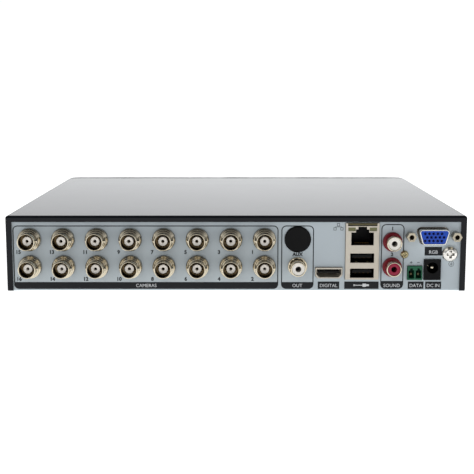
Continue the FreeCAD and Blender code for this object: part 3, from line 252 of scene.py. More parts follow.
# navy: the painted shade ring round each hole of the monitor socket
NAVY = coated("navy_moulding", linear(10, 16, 96), 0.5, patch=200, spread=0.08)
GREEN = coated("green_moulding", linear(20, 90, 62), 0.42, patch=200, spread=0.08)
BEZEL = coated("bezel_moulding", linear(22, 22, 25), 0.24, patch=60, spread=0.1, grain=1800, bump=0.06)
KEY = coated("key_moulding", linear(44, 44, 48), 0.4, patch=150, spread=0.08, grain=2000)
SMOKE = coated("smoked_window", linear(14, 8, 12), 0.06, patch=60, spread=0.2, bump=0.01, coat=1.0)
RUBBER = coated("rubber", linear(30, 30, 30), 0.8, patch=120, spread=0.15, grain=1500, bump=0.4)
LAMP = glowing("lamp_clear", linear(196, 214, 206), 0.15)
OLIVE = glowing("lamp_olive", linear(96, 96, 52), 0.02)
BOARD = circuit_board("board_green", linear(18, 84, 50), linear(196, 186, 120))
RESIN = coated("chip_resin", linear(32, 32, 34), 0.55, patch=200, spread=0.1, bump=0.2)
CERAMIC = coated("ceramic", linear(150, 118, 82), 0.5, patch=200, spread=0.15)
FERRITE = coated("ferrite", linear(58, 58, 62), 0.6, patch=300, spread=0.15, grain=1500, bump=0.5)
FINS = coated("fin_aluminium", linear(196, 198, 200), 0.34, metal=1.0, patch=80, spread=0.08,
              streak=(1, 30, 1))
CAST = coated("cast_aluminium", linear(150, 152, 155), 0.46, metal=1.0, patch=70, spread=0.1, grain=900,
              bump=0.5)
LID = coated("lid_steel", linear(206, 208, 210), 0.3, metal=1.0, patch=60, spread=0.05, streak=(1, 24, 1))
CAN = coated("can_sleeve", linear(50, 56, 92), 0.35, patch=100, spread=0.08, coat=0.3)
STEEL = coated("cell_steel", linear(206, 206, 206), 0.28, metal=1.0, patch=200, spread=0.06)
LEAD = coated("lead_jacket", linear(170, 30, 30), 0.5, patch=120, spread=0.08)
RIBBON = coated("ribbon_white", linear(214, 214, 208), 0.45, patch=150, spread=0.04)
PAPER = coated("label_paper", linear(232, 232, 226), 0.6, patch=100, spread=0.03)
INK = coated("panel_ink", linear(17, 20, 25), 0.5, patch=80, spread=0.06, bump=0.02, ior=1.35)
PALE_INK = coated("pale_ink", linear(214, 217, 220), 0.5, patch=80, spread=0.03, bump=0.02)

MATERIAL_OF = {
    "base_chassis": PANEL_PAINT, "top_cover": COVER, "front_bezel": BEZEL, "front_window": SMOKE,
    "light_pipes": LAMP, "rubber_feet": RUBBER, "cover_screws": ZINC, "board_screws": ZINC,
    "disk_screws": ZINC, "ground_screw": BRIGHT, "audio_block_screw": BRASSY, "blanking_plug": BLACK,
    "jack_housings": BLACK, "bnc_insulators": DIELECTRIC, "bnc_contacts": GOLD, "rca_shells": NICKEL,
    "rca_insulators_white": WHITE, "rca_insulator_red": CRIMSON, "audio_housing": MAROON,
    "hdmi_shell": TIN, "hdmi_tongue": BLACK, "lan_usb_cage": TIN, "lan_usb_insert": BLACK,
    "lan_lamps": OLIVE, "lan_usb_contacts": PAINTED_SHADE_GOLD, "vga_shell": BRIGHT, "vga_insert": BLUE,
    "vga_jackscrews": POST, "rs485_header": GREEN, "rs485_pins": PAINTED_SHADE_TIN, "dc_jack_housing": BLACK,
    "dc_jack_pin": NICKEL, "main_board": BOARD, "heatsink": FINS, "fan_frame": BLACK,
    "fan_rotor": BLACK, "board_chips": RESIN, "board_capacitors": CAN, "coin_cell": STEEL,
    "disk_casting": CAST, "disk_board": BOARD, "disk_leads": LEAD, "disk_plugs": BLACK,
    "front_board": BOARD, "tact_switches": BLACK, "front_ribbon": RIBBON,
}

# Width in millimetres of the soft edge of each folded, moulded or cut node.
EDGE_OF = {
    "top_cover": 0.18, "lan_usb_cage": 0.12, "hdmi_shell": 0.15, "vga_shell": 0.15, "vga_jackscrews": 0.12,
    "rs485_header": 0.1, "dc_jack_housing": 0.15, "board_chips": 0.1, "disk_plugs": 0.4,
    "front_ribbon": 0.1, "fan_frame": 0.25, "heatsink": 0.15, "disk_casting": 0.3, "blanking_plug": 0.12,
    "rca_shells": 0.06, "rca_insulators_white": 0.1, "rca_insulator_red": 0.1, "coin_cell": 0.3,
    "board_capacitors": 0.4, "audio_block_screw": 0.08, "ground_screw": 0.12, "tact_switches": 0.15,
    "front_window": 0.2, "bnc_insulators": 0.1, "audio_housing": 0.12, "main_board": 0.1,
    "jack_housings": 0.3, "light_pipes": 0.2, "rubber_feet": 0.4, "lan_usb_insert": 0.05,
}
SHELL_EDGE = 0.08
KEY_EDGE = 0.1
CREASE = math.radians(35)
NODE_CREASE = math.radians(32)


def soften(item, width):
    """Rounds a node's sharp edges by a hair, so that they catch the light."""
    weld = item.modifiers.new("weld", "WELD")
    weld.merge_threshold = WELD
    bevel = item.modifiers.new("soft_edges", "BEVEL")
    bevel.width = width * MM
    bevel.segments = 2
    bevel.limit_method = "ANGLE"
    bevel.angle_limit = CREASE
    bevel.harden_normals = True
    level = item.modifiers.new("flat_faces", "WEIGHTED_NORMAL")
    level.keep_sharp = True


def finish_nodes():
    """Gives each carried-over node its material, smooth curves and soft edges."""
    for name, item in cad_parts.items():
        if name.startswith("bnc_shells"):
            material, edge = NICKEL, SHELL_EDGE
        elif name.endswith("_key"):
            material, edge = KEY, KEY_EDGE
        else:
            material, edge = MATERIAL_OF[name], EDGE_OF.get(name)
        item.data.materials.clear()
        item.data.materials.append(material)
        item.data.shade_smooth()
        item.data.set_sharp_from_angle(angle=NODE_CREASE)
        if edge:
            soften(item, edge)


# ---------------------------------------------------------------- mesh helpers


def piece_from(name, mesh_maker, material, body=CHASSIS, smooth=False):
    """One finished piece from a bmesh, riding on a body."""
    mesh = bpy.data.meshes.new(name)
    work = bmesh.new()
    mesh_maker(work)
    bmesh.ops.recalc_face_normals(work, faces=work.faces)
    work.to_mesh(mesh)
    work.free()
    item = bpy.data.objects.new(name, mesh)
    bpy.context.scene.collection.objects.link(item)
    mesh.materials.append(material)
    if smooth:
        mesh.shade_smooth()
        mesh.set_sharp_from_angle(angle=CREASE)
    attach(item, body)


def arc(center_x, center_z, radius, start, end, steps=6):
    """Points of an arc in an upright plane, in degrees."""
    points = []
    for step in range(steps + 1):
        angle = math.radians(start + (end - start) * step / steps)
        points.append((center_x + radius * math.cos(angle), center_z + radius * math.sin(angle)))
    return points


def band(center_x, center_z, outer, inner, start, end, steps=24):
    """Outline of a curved stroke."""
    return (arc(center_x, center_z, outer, start, end, steps)
            + arc(center_x, center_z, inner, end, start, steps))


def rectangle(x0, x1, z0, z1):
    return [(x0, z0), (x1, z0), (x1, z1), (x0, z1)]


def square(x, z, half):
    return rectangle(x - half, x + half, z - half, z + half)


def ring(x, z, radius):
    """Outline of a full circle."""
    return arc(x, z, radius, 0, 345, 23)


def rounded_box(x0, x1, z0, z1, radius, square_top=False):
    """Outline of a rectangle with round corners; the top pair may stay square."""
    left, right, foot, head = x0 + radius, x1 - radius, z0 + radius, z1 - radius
    round_top = arc(right, head, radius, 0, 90) + arc(left, head, radius, 90, 180)
    top = [(x1, z1), (x0, z1)] if square_top else round_top
    return top + arc(left, foot, radius, 180, 270) + arc(right, foot, radius, 270, 360)


INK_DEEP = 0.03 * MM


def add_slab(work, outline, near, far, axis="y"):
    """A closed slab between two planes; axis y takes (x, z) points, axis z takes (x, y) points."""
    def corner(first, second, depth):
        return (first, depth, second) if axis == "y" else (first, second, depth)
    front = [work.verts.new(corner(*point, near)) for point in outline]
    back = [work.verts.new(corner(*point, far)) for point in outline]
    work.faces.new(front)
    work.faces.new(list(reversed(back)))
    for index in range(len(outline)):
        following = (index + 1) % len(outline)
        work.faces.new((front[index], back[index], back[following], front[following]))


def add_print(work, outline, thick=INK_DEEP):
    """A patch of ink on the socket panel."""
    add_slab(work, outline, PANEL_FACE - thick, PANEL_FACE + INK_DEEP)


def add_frame(work, outer, inner, near, far):
    """A closed line between two outlines with the same number of points."""
    places = [(outline, y) for outline in (outer, inner) for y in (near, far)]
    rings = [[work.verts.new((x, y, z)) for x, z in outline] for outline, y in places]
    outer_near, outer_far, inner_near, inner_far = rings
    for index in range(len(outer)):
        after = (index + 1) % len(outer)
        for first, second in ((outer_near, inner_near), (inner_near, inner_far),
                              (inner_far, outer_far), (outer_far, outer_near)):
            work.faces.new((first[index], first[after], second[after], second[index]))


def add_printed_frame(work, outer, inner):
    """A closed line of ink on the socket panel."""
    add_frame(work, outer, inner, PANEL_FACE - INK_DEEP, PANEL_FACE + INK_DEEP)


def add_block(work, low, high, chamfer=0.0):
    """A closed box with cut edges."""
    low, high = Vector(low), Vector(high)
    place = Matrix.Translation((low + high) / 2) @ Matrix.Diagonal((*(high - low), 1))
    made = bmesh.ops.create_cube(work, size=1, matrix=place)
    if chamfer:
        edges = list({edge for vert in made["verts"] for edge in vert.link_edges})
        bmesh.ops.bevel(work, geom=edges, offset=chamfer, segments=1, affect="EDGES")


def add_chip(work, x, y, half_x, half_y, foot, head, chamfer):
    """A closed box with cut edges, standing over a place on the main board."""
    add_block(work, (x - half_x, y - half_y, foot), (x + half_x, y + half_y, head), chamfer)


def add_turned(work, center, profile, axis="y", steps=40):
    """A closed turned shape: (radius, along) points spun about an axis through the centre."""
    rings = []
    for radius, along in profile:
        turn = []
        for step in range(steps if radius > 0 else 1):
            angle = 2 * math.pi * step / steps
            across, up = radius * math.cos(angle), radius * math.sin(angle)
            offset = (across, along, up) if axis == "y" else (across, up, along)
            turn.append(work.verts.new(Vector(center) + Vector(offset)))
        rings.append(turn)
    pairs = list(zip(rings, rings[1:]))
    if profile[0][0] > 0:
        pairs.append((rings[-1], rings[0]))
    for first, second in pairs:
        for step in range(steps):
            after = (step + 1) % steps
            corners = [first[step % len(first)], first[after % len(first)],
                       second[after % len(second)], second[step % len(second)]]
            work.faces.new(list(dict.fromkeys(corners)))


def add_text(work, text, x, z, tall, raised=INK_DEEP, widest=1.0, bold=0.06):
    """Small printed characters on the socket panel, narrowed to fit if they are too wide."""
    curve = bpy.data.curves.new("characters", "FONT")
    curve.body = text
    curve.size = tall * 1.4
    curve.align_x = "CENTER"
    curve.align_y = "BOTTOM_BASELINE"
    curve.extrude = INK_DEEP
    curve.offset = tall * bold
    curve.resolution_u = 3
    item = bpy.data.objects.new("characters", curve)
    bpy.context.scene.collection.objects.link(item)
    item.rotation_euler = Euler((math.radians(90), 0, 0))
    item.location = (x, PANEL_FACE - raised, z)
    bpy.context.view_layer.update()
    mesh = bpy.data.meshes.new_from_object(item)
    narrow = min(1.0, widest / item.dimensions.x)
    mesh.transform(item.matrix_world @ Matrix.Diagonal((narrow, 1, 1, 1)))
    bpy.data.objects.remove(item)
    work.from_mesh(mesh)
    bmesh.ops.remove_doubles(work, verts=work.verts, dist=WELD)


# ---------------------------------------------------------------- printing on the panel

LINE = 0.55 * MM
FIELD_LOW = CASE_FLOOR + 1.1 * MM
FIELD_HIGH = CASE_FLOOR + 36.9 * MM
BAR_TALL = 3.9 * MM
CORNER = 2.7 * MM
WORD_TALL = 1.9 * MM
WORD_RISE = 1.05 * MM
WORD_WIDEST = 11.5 * MM
NUMBER_TALL = 2.05 * MM


def print_fields():
    """(left, right, top, foot bar height, word) of each rounded field."""
    first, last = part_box("bnc_shells_1")[0].x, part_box("bnc_shells_8")[1].x
    plug, audio = middle("blanking_plug").x, middle("rca_insulator_red").x
    return [
        (first - 3.1 * MM, last + 1.5 * MM, FIELD_HIGH, BAR_TALL, "CAMERAS"),
        (plug - 9.1 * MM, plug + 9 * MM, FIELD_HIGH, BAR_TALL, "OUT"),
        (audio - 6.2 * MM, audio + 6.6 * MM, FIELD_HIGH + 0.8 * MM, BAR_TALL + 0.6 * MM, "SOUND"),
    ]


def print_bars():
    """(left, right, bottom, top, word) of each dark name bar below or beside a socket."""
    hdmi, stack = middle("hdmi_shell").x, middle("lan_usb_cage").x
    header, inlet = middle("rs485_header").x, middle("dc_jack_housing").x
    low, high = FIELD_LOW, FIELD_LOW + 4.2 * MM
    screen_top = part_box("vga_jackscrews")[0].z - 4.2 * MM
    screen = middle("vga_shell").x + 0.6 * MM
    return [
        (hdmi - 6 * MM, hdmi + 6 * MM, low, high, "DIGITAL"),
        (stack - 9.6 * MM, stack + 9.6 * MM, low, high, ""),
        (header - 3.6 * MM, header + 5.2 * MM, low, high, "DATA"),
        (inlet - 3.6 * MM, inlet + 5.3 * MM, low, high, "DC IN"),
        (screen - 4.8 * MM, screen + 4.8 * MM, screen_top - 4.5 * MM, screen_top + 0.4 * MM, "RGB"),
    ]


def field_outlines(work):
    for left, right, top, _, _ in print_fields():
        outer = rounded_box(left, right, FIELD_LOW, top, CORNER)
        inner = rounded_box(left + LINE, right - LINE, FIELD_LOW + LINE, top - LINE, CORNER - LINE)
        add_printed_frame(work, outer, inner)


def bar_patches(work):
    half = LINE / 2
    for left, right, _, bar, _ in print_fields():
        foot = rounded_box(left + half, right - half, FIELD_LOW + half, FIELD_LOW + bar, CORNER - half,
                           square_top=True)
        add_print(work, foot, INK_DEEP * 0.9)
    for left, right, low, high, _ in print_bars():
        add_print(work, rectangle(left, right, low, high))


def bar_words(work):
    words = [(left, right, FIELD_LOW, 1.4 * MM, word) for left, right, _, _, word in print_fields()]
    words += [(left, right, low, 1.2 * MM, word) for left, right, low, _, word in print_bars() if word]
    for left, right, low, margin, word in words:
        widest = min(right - left - margin, WORD_WIDEST)
        add_text(work, word, (left + right) / 2, low + WORD_RISE, WORD_TALL, 2 * INK_DEEP, widest, 0.0)
    plug_and_lead(work)


def plug_and_lead(work):
    """A small pictogram of a plug on its lead, in the bar under the serial-bus sockets."""
    left, right, low, high, _ = print_bars()[1]
    x, z = (left + right) / 2, (low + high) / 2
    thick, near = 0.2 * MM, 3 * INK_DEEP
    add_print(work, rectangle(x - 4 * MM, x + 0.6 * MM, z - thick, z + thick), near)
    add_print(work, rectangle(x + 0.6 * MM, x + 2.6 * MM, z - 0.9 * MM, z + 0.9 * MM), near)
    add_print(work, rectangle(x + 2.6 * MM, x + 4.2 * MM, z - 0.5 * MM, z + 0.5 * MM), near)
    add_print(work, arc(x - 4 * MM, z, 0.55 * MM, 0, 330, 11), near)


def socket_numbers(work):
    """Inputs are numbered in columns from the right, odd above even."""
    for column in range(8):
        low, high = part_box(f"bnc_shells_{column + 1}")
        for level, z in (("upper", high.z - 14.5 * MM), ("lower", low.z - 1.7 * MM)):
            number = 2 * (8 - column) - (level == "upper")
            add_text(work, str(number), low.x - 0.3 * MM, z, NUMBER_TALL)
    lower_input = middle("rca_insulator_red")
    add_text(work, "1", lower_input.x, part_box("audio_housing")[1].z - 0.6 * MM, WORD_TALL)
    add_text(work, "2", lower_input.x, lower_input.z + 6.1 * MM, WORD_TALL)
    plug = middle("blanking_plug")
    add_text(work, "AUX", plug.x, plug.z - 9.4 * MM, WORD_TALL)


def network_sign(work):
    """Three small boxes and one line, left of the network socket."""
    stack_low, stack_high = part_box("lan_usb_cage")
    x, z, side, pen = stack_low.x - 4 * MM, stack_high.z - 3.4 * MM, 0.8 * MM, 0.25 * MM
    reach = 1.9 * MM
    for across, up in ((-reach, 0), (reach, 0), (0, 2.3 * MM)):
        add_printed_frame(work, square(x + across, z + up, side), square(x + across, z + up, side - pen))
    line = z + side + 0.2 * MM
    add_print(work, rectangle(x - reach, x + reach, line, line + pen))


def polarity_signs(work):
    """Plus over the left pin of the terminal, minus over the right one."""
    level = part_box("rs485_header")[1].z + 1.9 * MM
    long, thin = 0.7 * MM, 0.15 * MM
    for low, high in solids_of("rs485_pins"):
        x = (low.x + high.x) / 2
        add_print(work, rectangle(x - long, x + long, level - thin, level + thin))
        if x < middle("rs485_header").x:
            add_print(work, rectangle(x - thin, x + thin, level - long, level + long), INK_DEEP * 0.8)


def earth_sign(work):
    """A ring round a short stem over three lines, under the earth screw."""
    earth = middle("ground_screw") + Vector((1.1, 0, -5.8)) * MM
    add_printed_frame(work, ring(earth.x, earth.z, 1.5 * MM), ring(earth.x, earth.z, 1.3 * MM))
    thin = 0.1 * MM
    add_print(work, rectangle(earth.x - thin, earth.x + thin, earth.z + thin, earth.z + 0.9 * MM))
    for number, half in enumerate((0.8 * MM, 0.5 * MM, 0.2 * MM)):
        level = earth.z + thin - number * 4 * thin
        add_print(work, rectangle(earth.x - half, earth.x + half, level - 2 * thin, level))


def panel_signs(work):
    network_sign(work)
    polarity_signs(work)
    earth_sign(work)


def panel_printing():
    piece_from("print_fields", field_outlines, INK)
    piece_from("print_bars", bar_patches, INK)
    piece_from("print_words", bar_words, PALE_INK)
    piece_from("print_numbers", socket_numbers, INK)
    piece_from("print_signs", panel_signs, INK)


# ---------------------------------------------------------------- small parts of the sockets

PIN_PITCH = 2.29 * MM
PIN_ROWS = 1.98 * MM


def stack_spring(work):
    """The bent flap in the slot over the network socket, wider at its root."""
    low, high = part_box("lan_usb_cage")
    top, root, tip = high.z - 0.45 * MM, 8.2 * MM, 7.4 * MM
    x = (low.x + high.x) / 2
    front, back = low.y - 0.35 * MM, low.y + 0.3 * MM
    outline = [(x - tip, top - 0.7 * MM), (x + tip, top - 0.7 * MM), (x + root, top), (x - root, top)]
    add_slab(work, outline, front + 0.25 * MM, back)
    add_block(work, (x - root, front, top - 0.1 * MM), (x + root, back, top + 0.35 * MM), 0.1 * MM)


def bus_springs(work):
    """Two bent springs in the floor of each serial-bus socket."""
    low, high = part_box("lan_usb_cage")
    strips = sorted({round(strip_low.z, 6) for strip_low, _ in solids_of("lan_usb_contacts")})[1:]
    near, far, half = low.y + 1.2 * MM, low.y + 5 * MM, 0.7 * MM
    for strip in [level for level in strips if level < high.z - 14 * MM]:
        floor = strip - 2.25 * MM
        for side in (-1, 1):
            x = (low.x + high.x) / 2 + side * 3.1 * MM
            add_block(work, (x - half, near, floor), (x + half, far, floor + 0.5 * MM), 0.15 * MM)


def digital_blades(work):
    """Contact blades along the top and bottom of the digital socket's tongue."""
    low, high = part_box("hdmi_tongue")
    near, half, thin = low.y + 0.4 * MM, 0.2 * MM, 0.06 * MM
    for row, z in ((0, low.z), (1, high.z)):
        for number in range(10 - row):
            x = low.x + (1.3 + number + row / 2) * MM
            add_block(work, (x - half, near, z - thin), (x + half, high.y, z + thin))


def pin_mouths(work):
    """A thin navy ring round each hole of the monitor socket, in three rows of five: painted shade standing
    for the dark lead-in.
    """
    center = middle("vga_shell")
    face = min(low.y for low, _ in solids_of("vga_insert"))
    hole, rim = 0.6 * MM, 0.86 * MM
    mouth = [(hole, -INK_DEEP), (rim, -INK_DEEP), (rim, INK_DEEP), (hole, INK_DEEP)]
    for row, shift in enumerate((0, 0.5, 0)):
        for column in range(5):
            x = center.x + (column - 2.25 + shift) * PIN_PITCH
            z = center.z + (1 - row) * PIN_ROWS
            add_turned(work, (x, face, z), mouth, "y", 16)


def inlet_leaf(work):
    """The sprung contact in the side of the power inlet's bore."""
    pin = middle("dc_jack_pin")
    x, z, half = pin.x - 2.5 * MM, pin.z + 1.5 * MM, 0.5 * MM
    tip = PANEL_FACE - 0.6 * MM
    add_block(work, (x - 0.25 * MM, tip, z - half), (x + 0.15 * MM, pin.y, z + half), 0.1 * MM)


def socket_details():
    piece_from("stack_spring", stack_spring, PAINTED_SHADE_TIN)
    piece_from("bus_springs", bus_springs, PAINTED_SHADE_TIN)
    piece_from("digital_blades", digital_blades, PAINTED_SHADE_GOLD)
    piece_from("pin_mouths", pin_mouths, NAVY)
    piece_from("inlet_leaf", inlet_leaf, NICKEL)


# ---------------------------------------------------------------- on the main board

LARGEST_CHIP = 20 * MM


def chip_legs(work):
    """Short legs on two sides of each chip, and on four sides of the square ones."""
    foot, pitch, half = 1.1 * MM, 1.0 * MM, 0.2 * MM
    leg_top = BOARD_TOP + 0.25 * MM
    for low, high in solids_of("board_chips"):
        wide, deep = high.x - low.x, high.y - low.y
        if wide > LARGEST_CHIP:
            continue
        for number in range(1, round(deep / pitch)):
            y = low.y + number * pitch
            for start, end in ((low.x - foot, low.x), (high.x, high.x + foot)):
                add_block(work, (start, y - half, BOARD_TOP), (end, y + half, leg_top))
        if abs(wide - deep) > 1 * MM:
            continue
        for number in range(1, round(wide / pitch)):
            x = low.x + number * pitch
            for start, end in ((low.y - foot, low.y), (high.y, high.y + foot)):
                add_block(work, (x - half, start, BOARD_TOP), (x + half, end, leg_top))


def chip_marks(work):
    """The dot that marks each chip's first leg."""
    inset, radius, thin = 1.4 * MM, 0.5 * MM, 0.04 * MM
    dot = [(0, thin), (radius, thin), (radius, -thin), (0, -thin)]
    for low, high in solids_of("board_chips"):
        if high.x - low.x < LARGEST_CHIP:
            add_turned(work, (low.x + inset, high.y - inset, high.z), dot, "z", 16)


BOARD_NODES = ("board_chips", "board_capacitors", "coin_cell", "heatsink", "jack_housings",
               "lan_usb_cage", "audio_housing", "rs485_header", "dc_jack_housing", "hdmi_shell",
               "board_screws", "disk_plugs")
PLACE_COUNT = 230
PLACE_WIDE = 2.1 * MM
TRIES = 6
SEED = 7


def free_places(count, wide, seed):
    """Places on the main board that are clear of everything taller, the same ones each time."""
    taken = [solid for node in BOARD_NODES for solid in solids_of(node)]
    low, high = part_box("main_board")
    dice = random.Random(seed)
    places = []
    for _ in range(count * TRIES):
        x = dice.uniform(low.x + 3 * MM, high.x - 3 * MM)
        y = dice.uniform(low.y + 19 * MM, high.y - 3 * MM)
        near_part = any(a.x - wide < x < b.x + wide and a.y - wide < y < b.y + wide for a, b in taken)
        near_place = any(abs(x - px) < wide and abs(y - py) < wide for px, py, _ in places)
        if not near_part and not near_place and len(places) < count:
            places.append((x, y, dice.random() < 0.5))
    return places


PLACES = free_places(PLACE_COUNT, PLACE_WIDE, SEED)


def chip_parts(share):
    """A maker of small two-ended parts on one share of the free places."""
    head = BOARD_TOP + (0.5 + share * 0.2) * MM
    long, short = 0.9 * MM, 0.5 * MM

    def make(work):
        for x, y, turned in PLACES[share::3]:
            half_x, half_y = (short, long) if turned else (long, short)
            add_chip(work, x, y, half_x, half_y, BOARD_TOP, head, 0.1 * MM)
    return make


def part_ends(work):
    """The soldered ends of the small parts."""
    reach, long, short = 0.95 * MM, 0.55 * MM, 0.25 * MM
    foot, head = BOARD_TOP - 0.01 * MM, BOARD_TOP + 0.35 * MM
    for x, y, turned in PLACES:
        across, along = (0, reach) if turned else (reach, 0)
        half_x, half_y = (long, short) if turned else (short, long)
        for side in (-1, 1):
            add_chip(work, x + side * across, y + side * along, half_x, half_y, foot, head, 0.08 * MM)


def inductors(work):
    """Two power chokes behind the inlet."""
    inlet_low, inlet_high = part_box("dc_jack_housing")
    half, head = 3.4 * MM, BOARD_TOP + 3 * MM
    cap = [(0, 0.4 * MM), (2.4 * MM, 0.4 * MM), (2.8 * MM, 0), (0, 0)]
    x = inlet_low.x - 5 * MM
    for y in (inlet_high.y + 9 * MM, inlet_high.y + 18 * MM):
        add_chip(work, x, y, half, half, BOARD_TOP, head, 0.9 * MM)
        add_turned(work, (x, y, head), cap, "z")


def can_vents(work):
    """The bare aluminium top of each capacitor, with a raised rim."""
    for low, high in solids_of("board_capacitors"):
        x, y, radius = (low.x + high.x) / 2, (low.y + high.y) / 2, (high.x - low.x) / 2
        rise, sink = 0.08 * MM, -0.1 * MM
        cap = [(0, rise), (radius * 0.72, rise), (radius * 0.8, 0.02 * MM), (radius * 0.8, sink), (0, sink)]
        add_turned(work, (x, y, high.z), cap, "z")


def fan_screws(work):
    """A dished screw head in each corner of the fan."""
    low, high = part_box("fan_frame")
    inset = 4 * MM
    head = [(0, 0.5 * MM), (1.6 * MM, 1.1 * MM), (2.4 * MM, 0.7 * MM), (2.7 * MM, 0), (0, -0.4 * MM)]
    for x in (low.x + inset, high.x - inset):
        for y in (low.y + inset, high.y - inset):
            add_turned(work, (x, y, high.z), head, "z", 24)


def fan_badge(work):
    """A plain round sticker on the fan's hub."""
    low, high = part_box("fan_rotor")
    x, y = (low.x + high.x) / 2, (low.y + high.y) / 2
    rise, sink = 0.06 * MM, -0.02 * MM
    add_turned(work, (x, y, high.z), [(0, rise), (7 * MM, rise), (7.2 * MM, sink), (0, sink)], "z")


def fan_arcs(work):
    """Two arcs on the sticker, which show which way the fan stands."""
    low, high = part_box("fan_rotor")
    x, y = (low.x + high.x) / 2, (low.y + high.y) / 2
    near, far = high.z + 0.03 * MM, high.z + 0.09 * MM
    for start in (20, 200):
        add_slab(work, band(x, y, 5.6 * MM, 5 * MM, start, start + 110), near, far, "z")


def board_details():
    piece_from("chip_legs", chip_legs, STEEL)
    piece_from("chip_marks", chip_marks, PALE_INK)
    piece_from("small_resistors", chip_parts(0), RESIN)
    piece_from("small_ceramics", chip_parts(1), CERAMIC)
    piece_from("small_diodes", chip_parts(2), BLACK)
    piece_from("part_ends", part_ends, STEEL)
    piece_from("power_chokes", inductors, FERRITE, smooth=True)
    piece_from("can_tops", can_vents, STEEL, smooth=True)
    piece_from("fan_screws", fan_screws, ZINC, smooth=True)
    piece_from("fan_badge", fan_badge, PAPER, "rotor", smooth=True)
    piece_from("fan_arcs", fan_arcs, INK, "rotor")


# ---------------------------------------------------------------- hard disk

LID_SUNK = 0.35 * MM
LABEL_IN = 52 * MM


def disk_lid(work):
    """Pressed lid in the recess of the casting, raised over the platters and the arm."""
    low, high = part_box("disk_casting")
    inset, recess = 3.3 * MM, 1.15 * MM
    x0, x1, y0, y1 = low.x + inset, high.x - inset, low.y + inset, high.y - inset
    add_slab(work, rounded_box(x0, x1, y0, y1, 6 * MM), high.z - recess, high.z - LID_SUNK, "z")
    middle_y = (y0 + y1) / 2
    crest, root = -0.05 * MM, -0.4 * MM
    platter = [(0, crest), (42 * MM, crest), (43.4 * MM, root), (0, root)]
    add_turned(work, (x0 + 49 * MM, middle_y, high.z), platter, "z", 96)
    arm = [(0, crest), (15 * MM, crest), (16 * MM, root), (0, root)]
    add_turned(work, (x1 - 24 * MM, middle_y - 22 * MM, high.z), arm, "z", 64)


def disk_lid_screws(work):
    """Three dished screw heads along each long side of the lid."""
    low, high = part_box("disk_casting")
    inset = 6.6 * MM
    head = [(0, 0.1 * MM), (0.8 * MM, 0.3 * MM), (1.9 * MM, 0.3 * MM), (2.2 * MM, 0), (0, -0.2 * MM)]
    for x in (low.x + inset, (low.x + high.x) / 2, high.x - inset):
        for y in (low.y + inset, high.y - inset):
            add_turned(work, (x, y, high.z - LID_SUNK), head, "z", 24)


def disk_label(work):
    """Paper label across the lid."""
    low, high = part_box("disk_casting")
    x, y, half = low.x + LABEL_IN, (low.y + high.y) / 2, 26 * MM
    outline = rounded_box(x - 34 * MM, x + half, y - half, y + half, 2 * MM)
    add_slab(work, outline, high.z - 0.06 * MM, high.z - 0.01 * MM, "z")


def disk_label_marks(work):
    """Plain rules and blocks where a maker would print."""
    low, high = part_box("disk_casting")
    left, y = low.x + LABEL_IN - 30 * MM, (low.y + high.y) / 2
    near, far = high.z - 0.03 * MM, high.z
    for number, long in enumerate((48 * MM, 40 * MM, 44 * MM, 30 * MM)):
        across = y + (18 - number * 5) * MM
        add_slab(work, rectangle(left, left + long, across, across + 1 * MM), near, far, "z")
    for number in range(18):
        start = left + number * 2 * MM
        width = (0.5 + (number * 7 % 4) * 0.35) * MM
        add_slab(work, rectangle(start, start + width, y - 20 * MM, y - 8 * MM), near, far, "z")


def disk_details():
    piece_from("disk_lid", disk_lid, LID, smooth=True)
    piece_from("disk_lid_screws", disk_lid_screws, ZINC, smooth=True)
    piece_from("disk_label", disk_label, PAPER)
    piece_from("disk_label_marks", disk_label_marks, INK)


# ---------------------------------------------------------------- front


def key_sign(name):
    """A maker of the raised sign on one key."""
    low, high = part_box(name)
    x, z, face = (low.x + high.x) / 2, (low.z + high.z) / 2, high.y
    reach, pen = 1.5 * MM, 0.22 * MM
    turn = {"up_key": 90, "down_key": 270, "left_key": 0, "right_key": 180}

    def make(work):
        near, far = face - 0.3 * MM, face - INK_DEEP
        if name in turn:
            add_slab(work, arc(x, z, reach, turn[name], turn[name] + 240, 2), near, far)
        elif name == "enter_key":
            add_frame(work, ring(x, z, reach), ring(x, z, reach - 2 * pen), near, far)
        else:
            add_slab(work, band(x, z, 1.7 * MM, 1.7 * MM - 2 * pen, 125, 415), near, far)
            add_slab(work, rectangle(x - pen, x + pen, z + 0.4 * MM, z + 2.1 * MM), near, far)
    return make


def key_rings(work):
    """A thin bright ring in the front round each key."""
    inner, proud, sunk = 4.95 * MM, 0.22 * MM, -0.3 * MM
    outer = inner + 0.35 * MM
    profile = [(inner, proud), (outer, proud), (inner + 0.5 * MM, sunk), (inner - 0.3 * MM, sunk)]
    for name in KEYS:
        low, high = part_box(name)
        add_turned(work, ((low.x + high.x) / 2, FRONT_FACE, (low.z + high.z) / 2), profile, "y", 64)


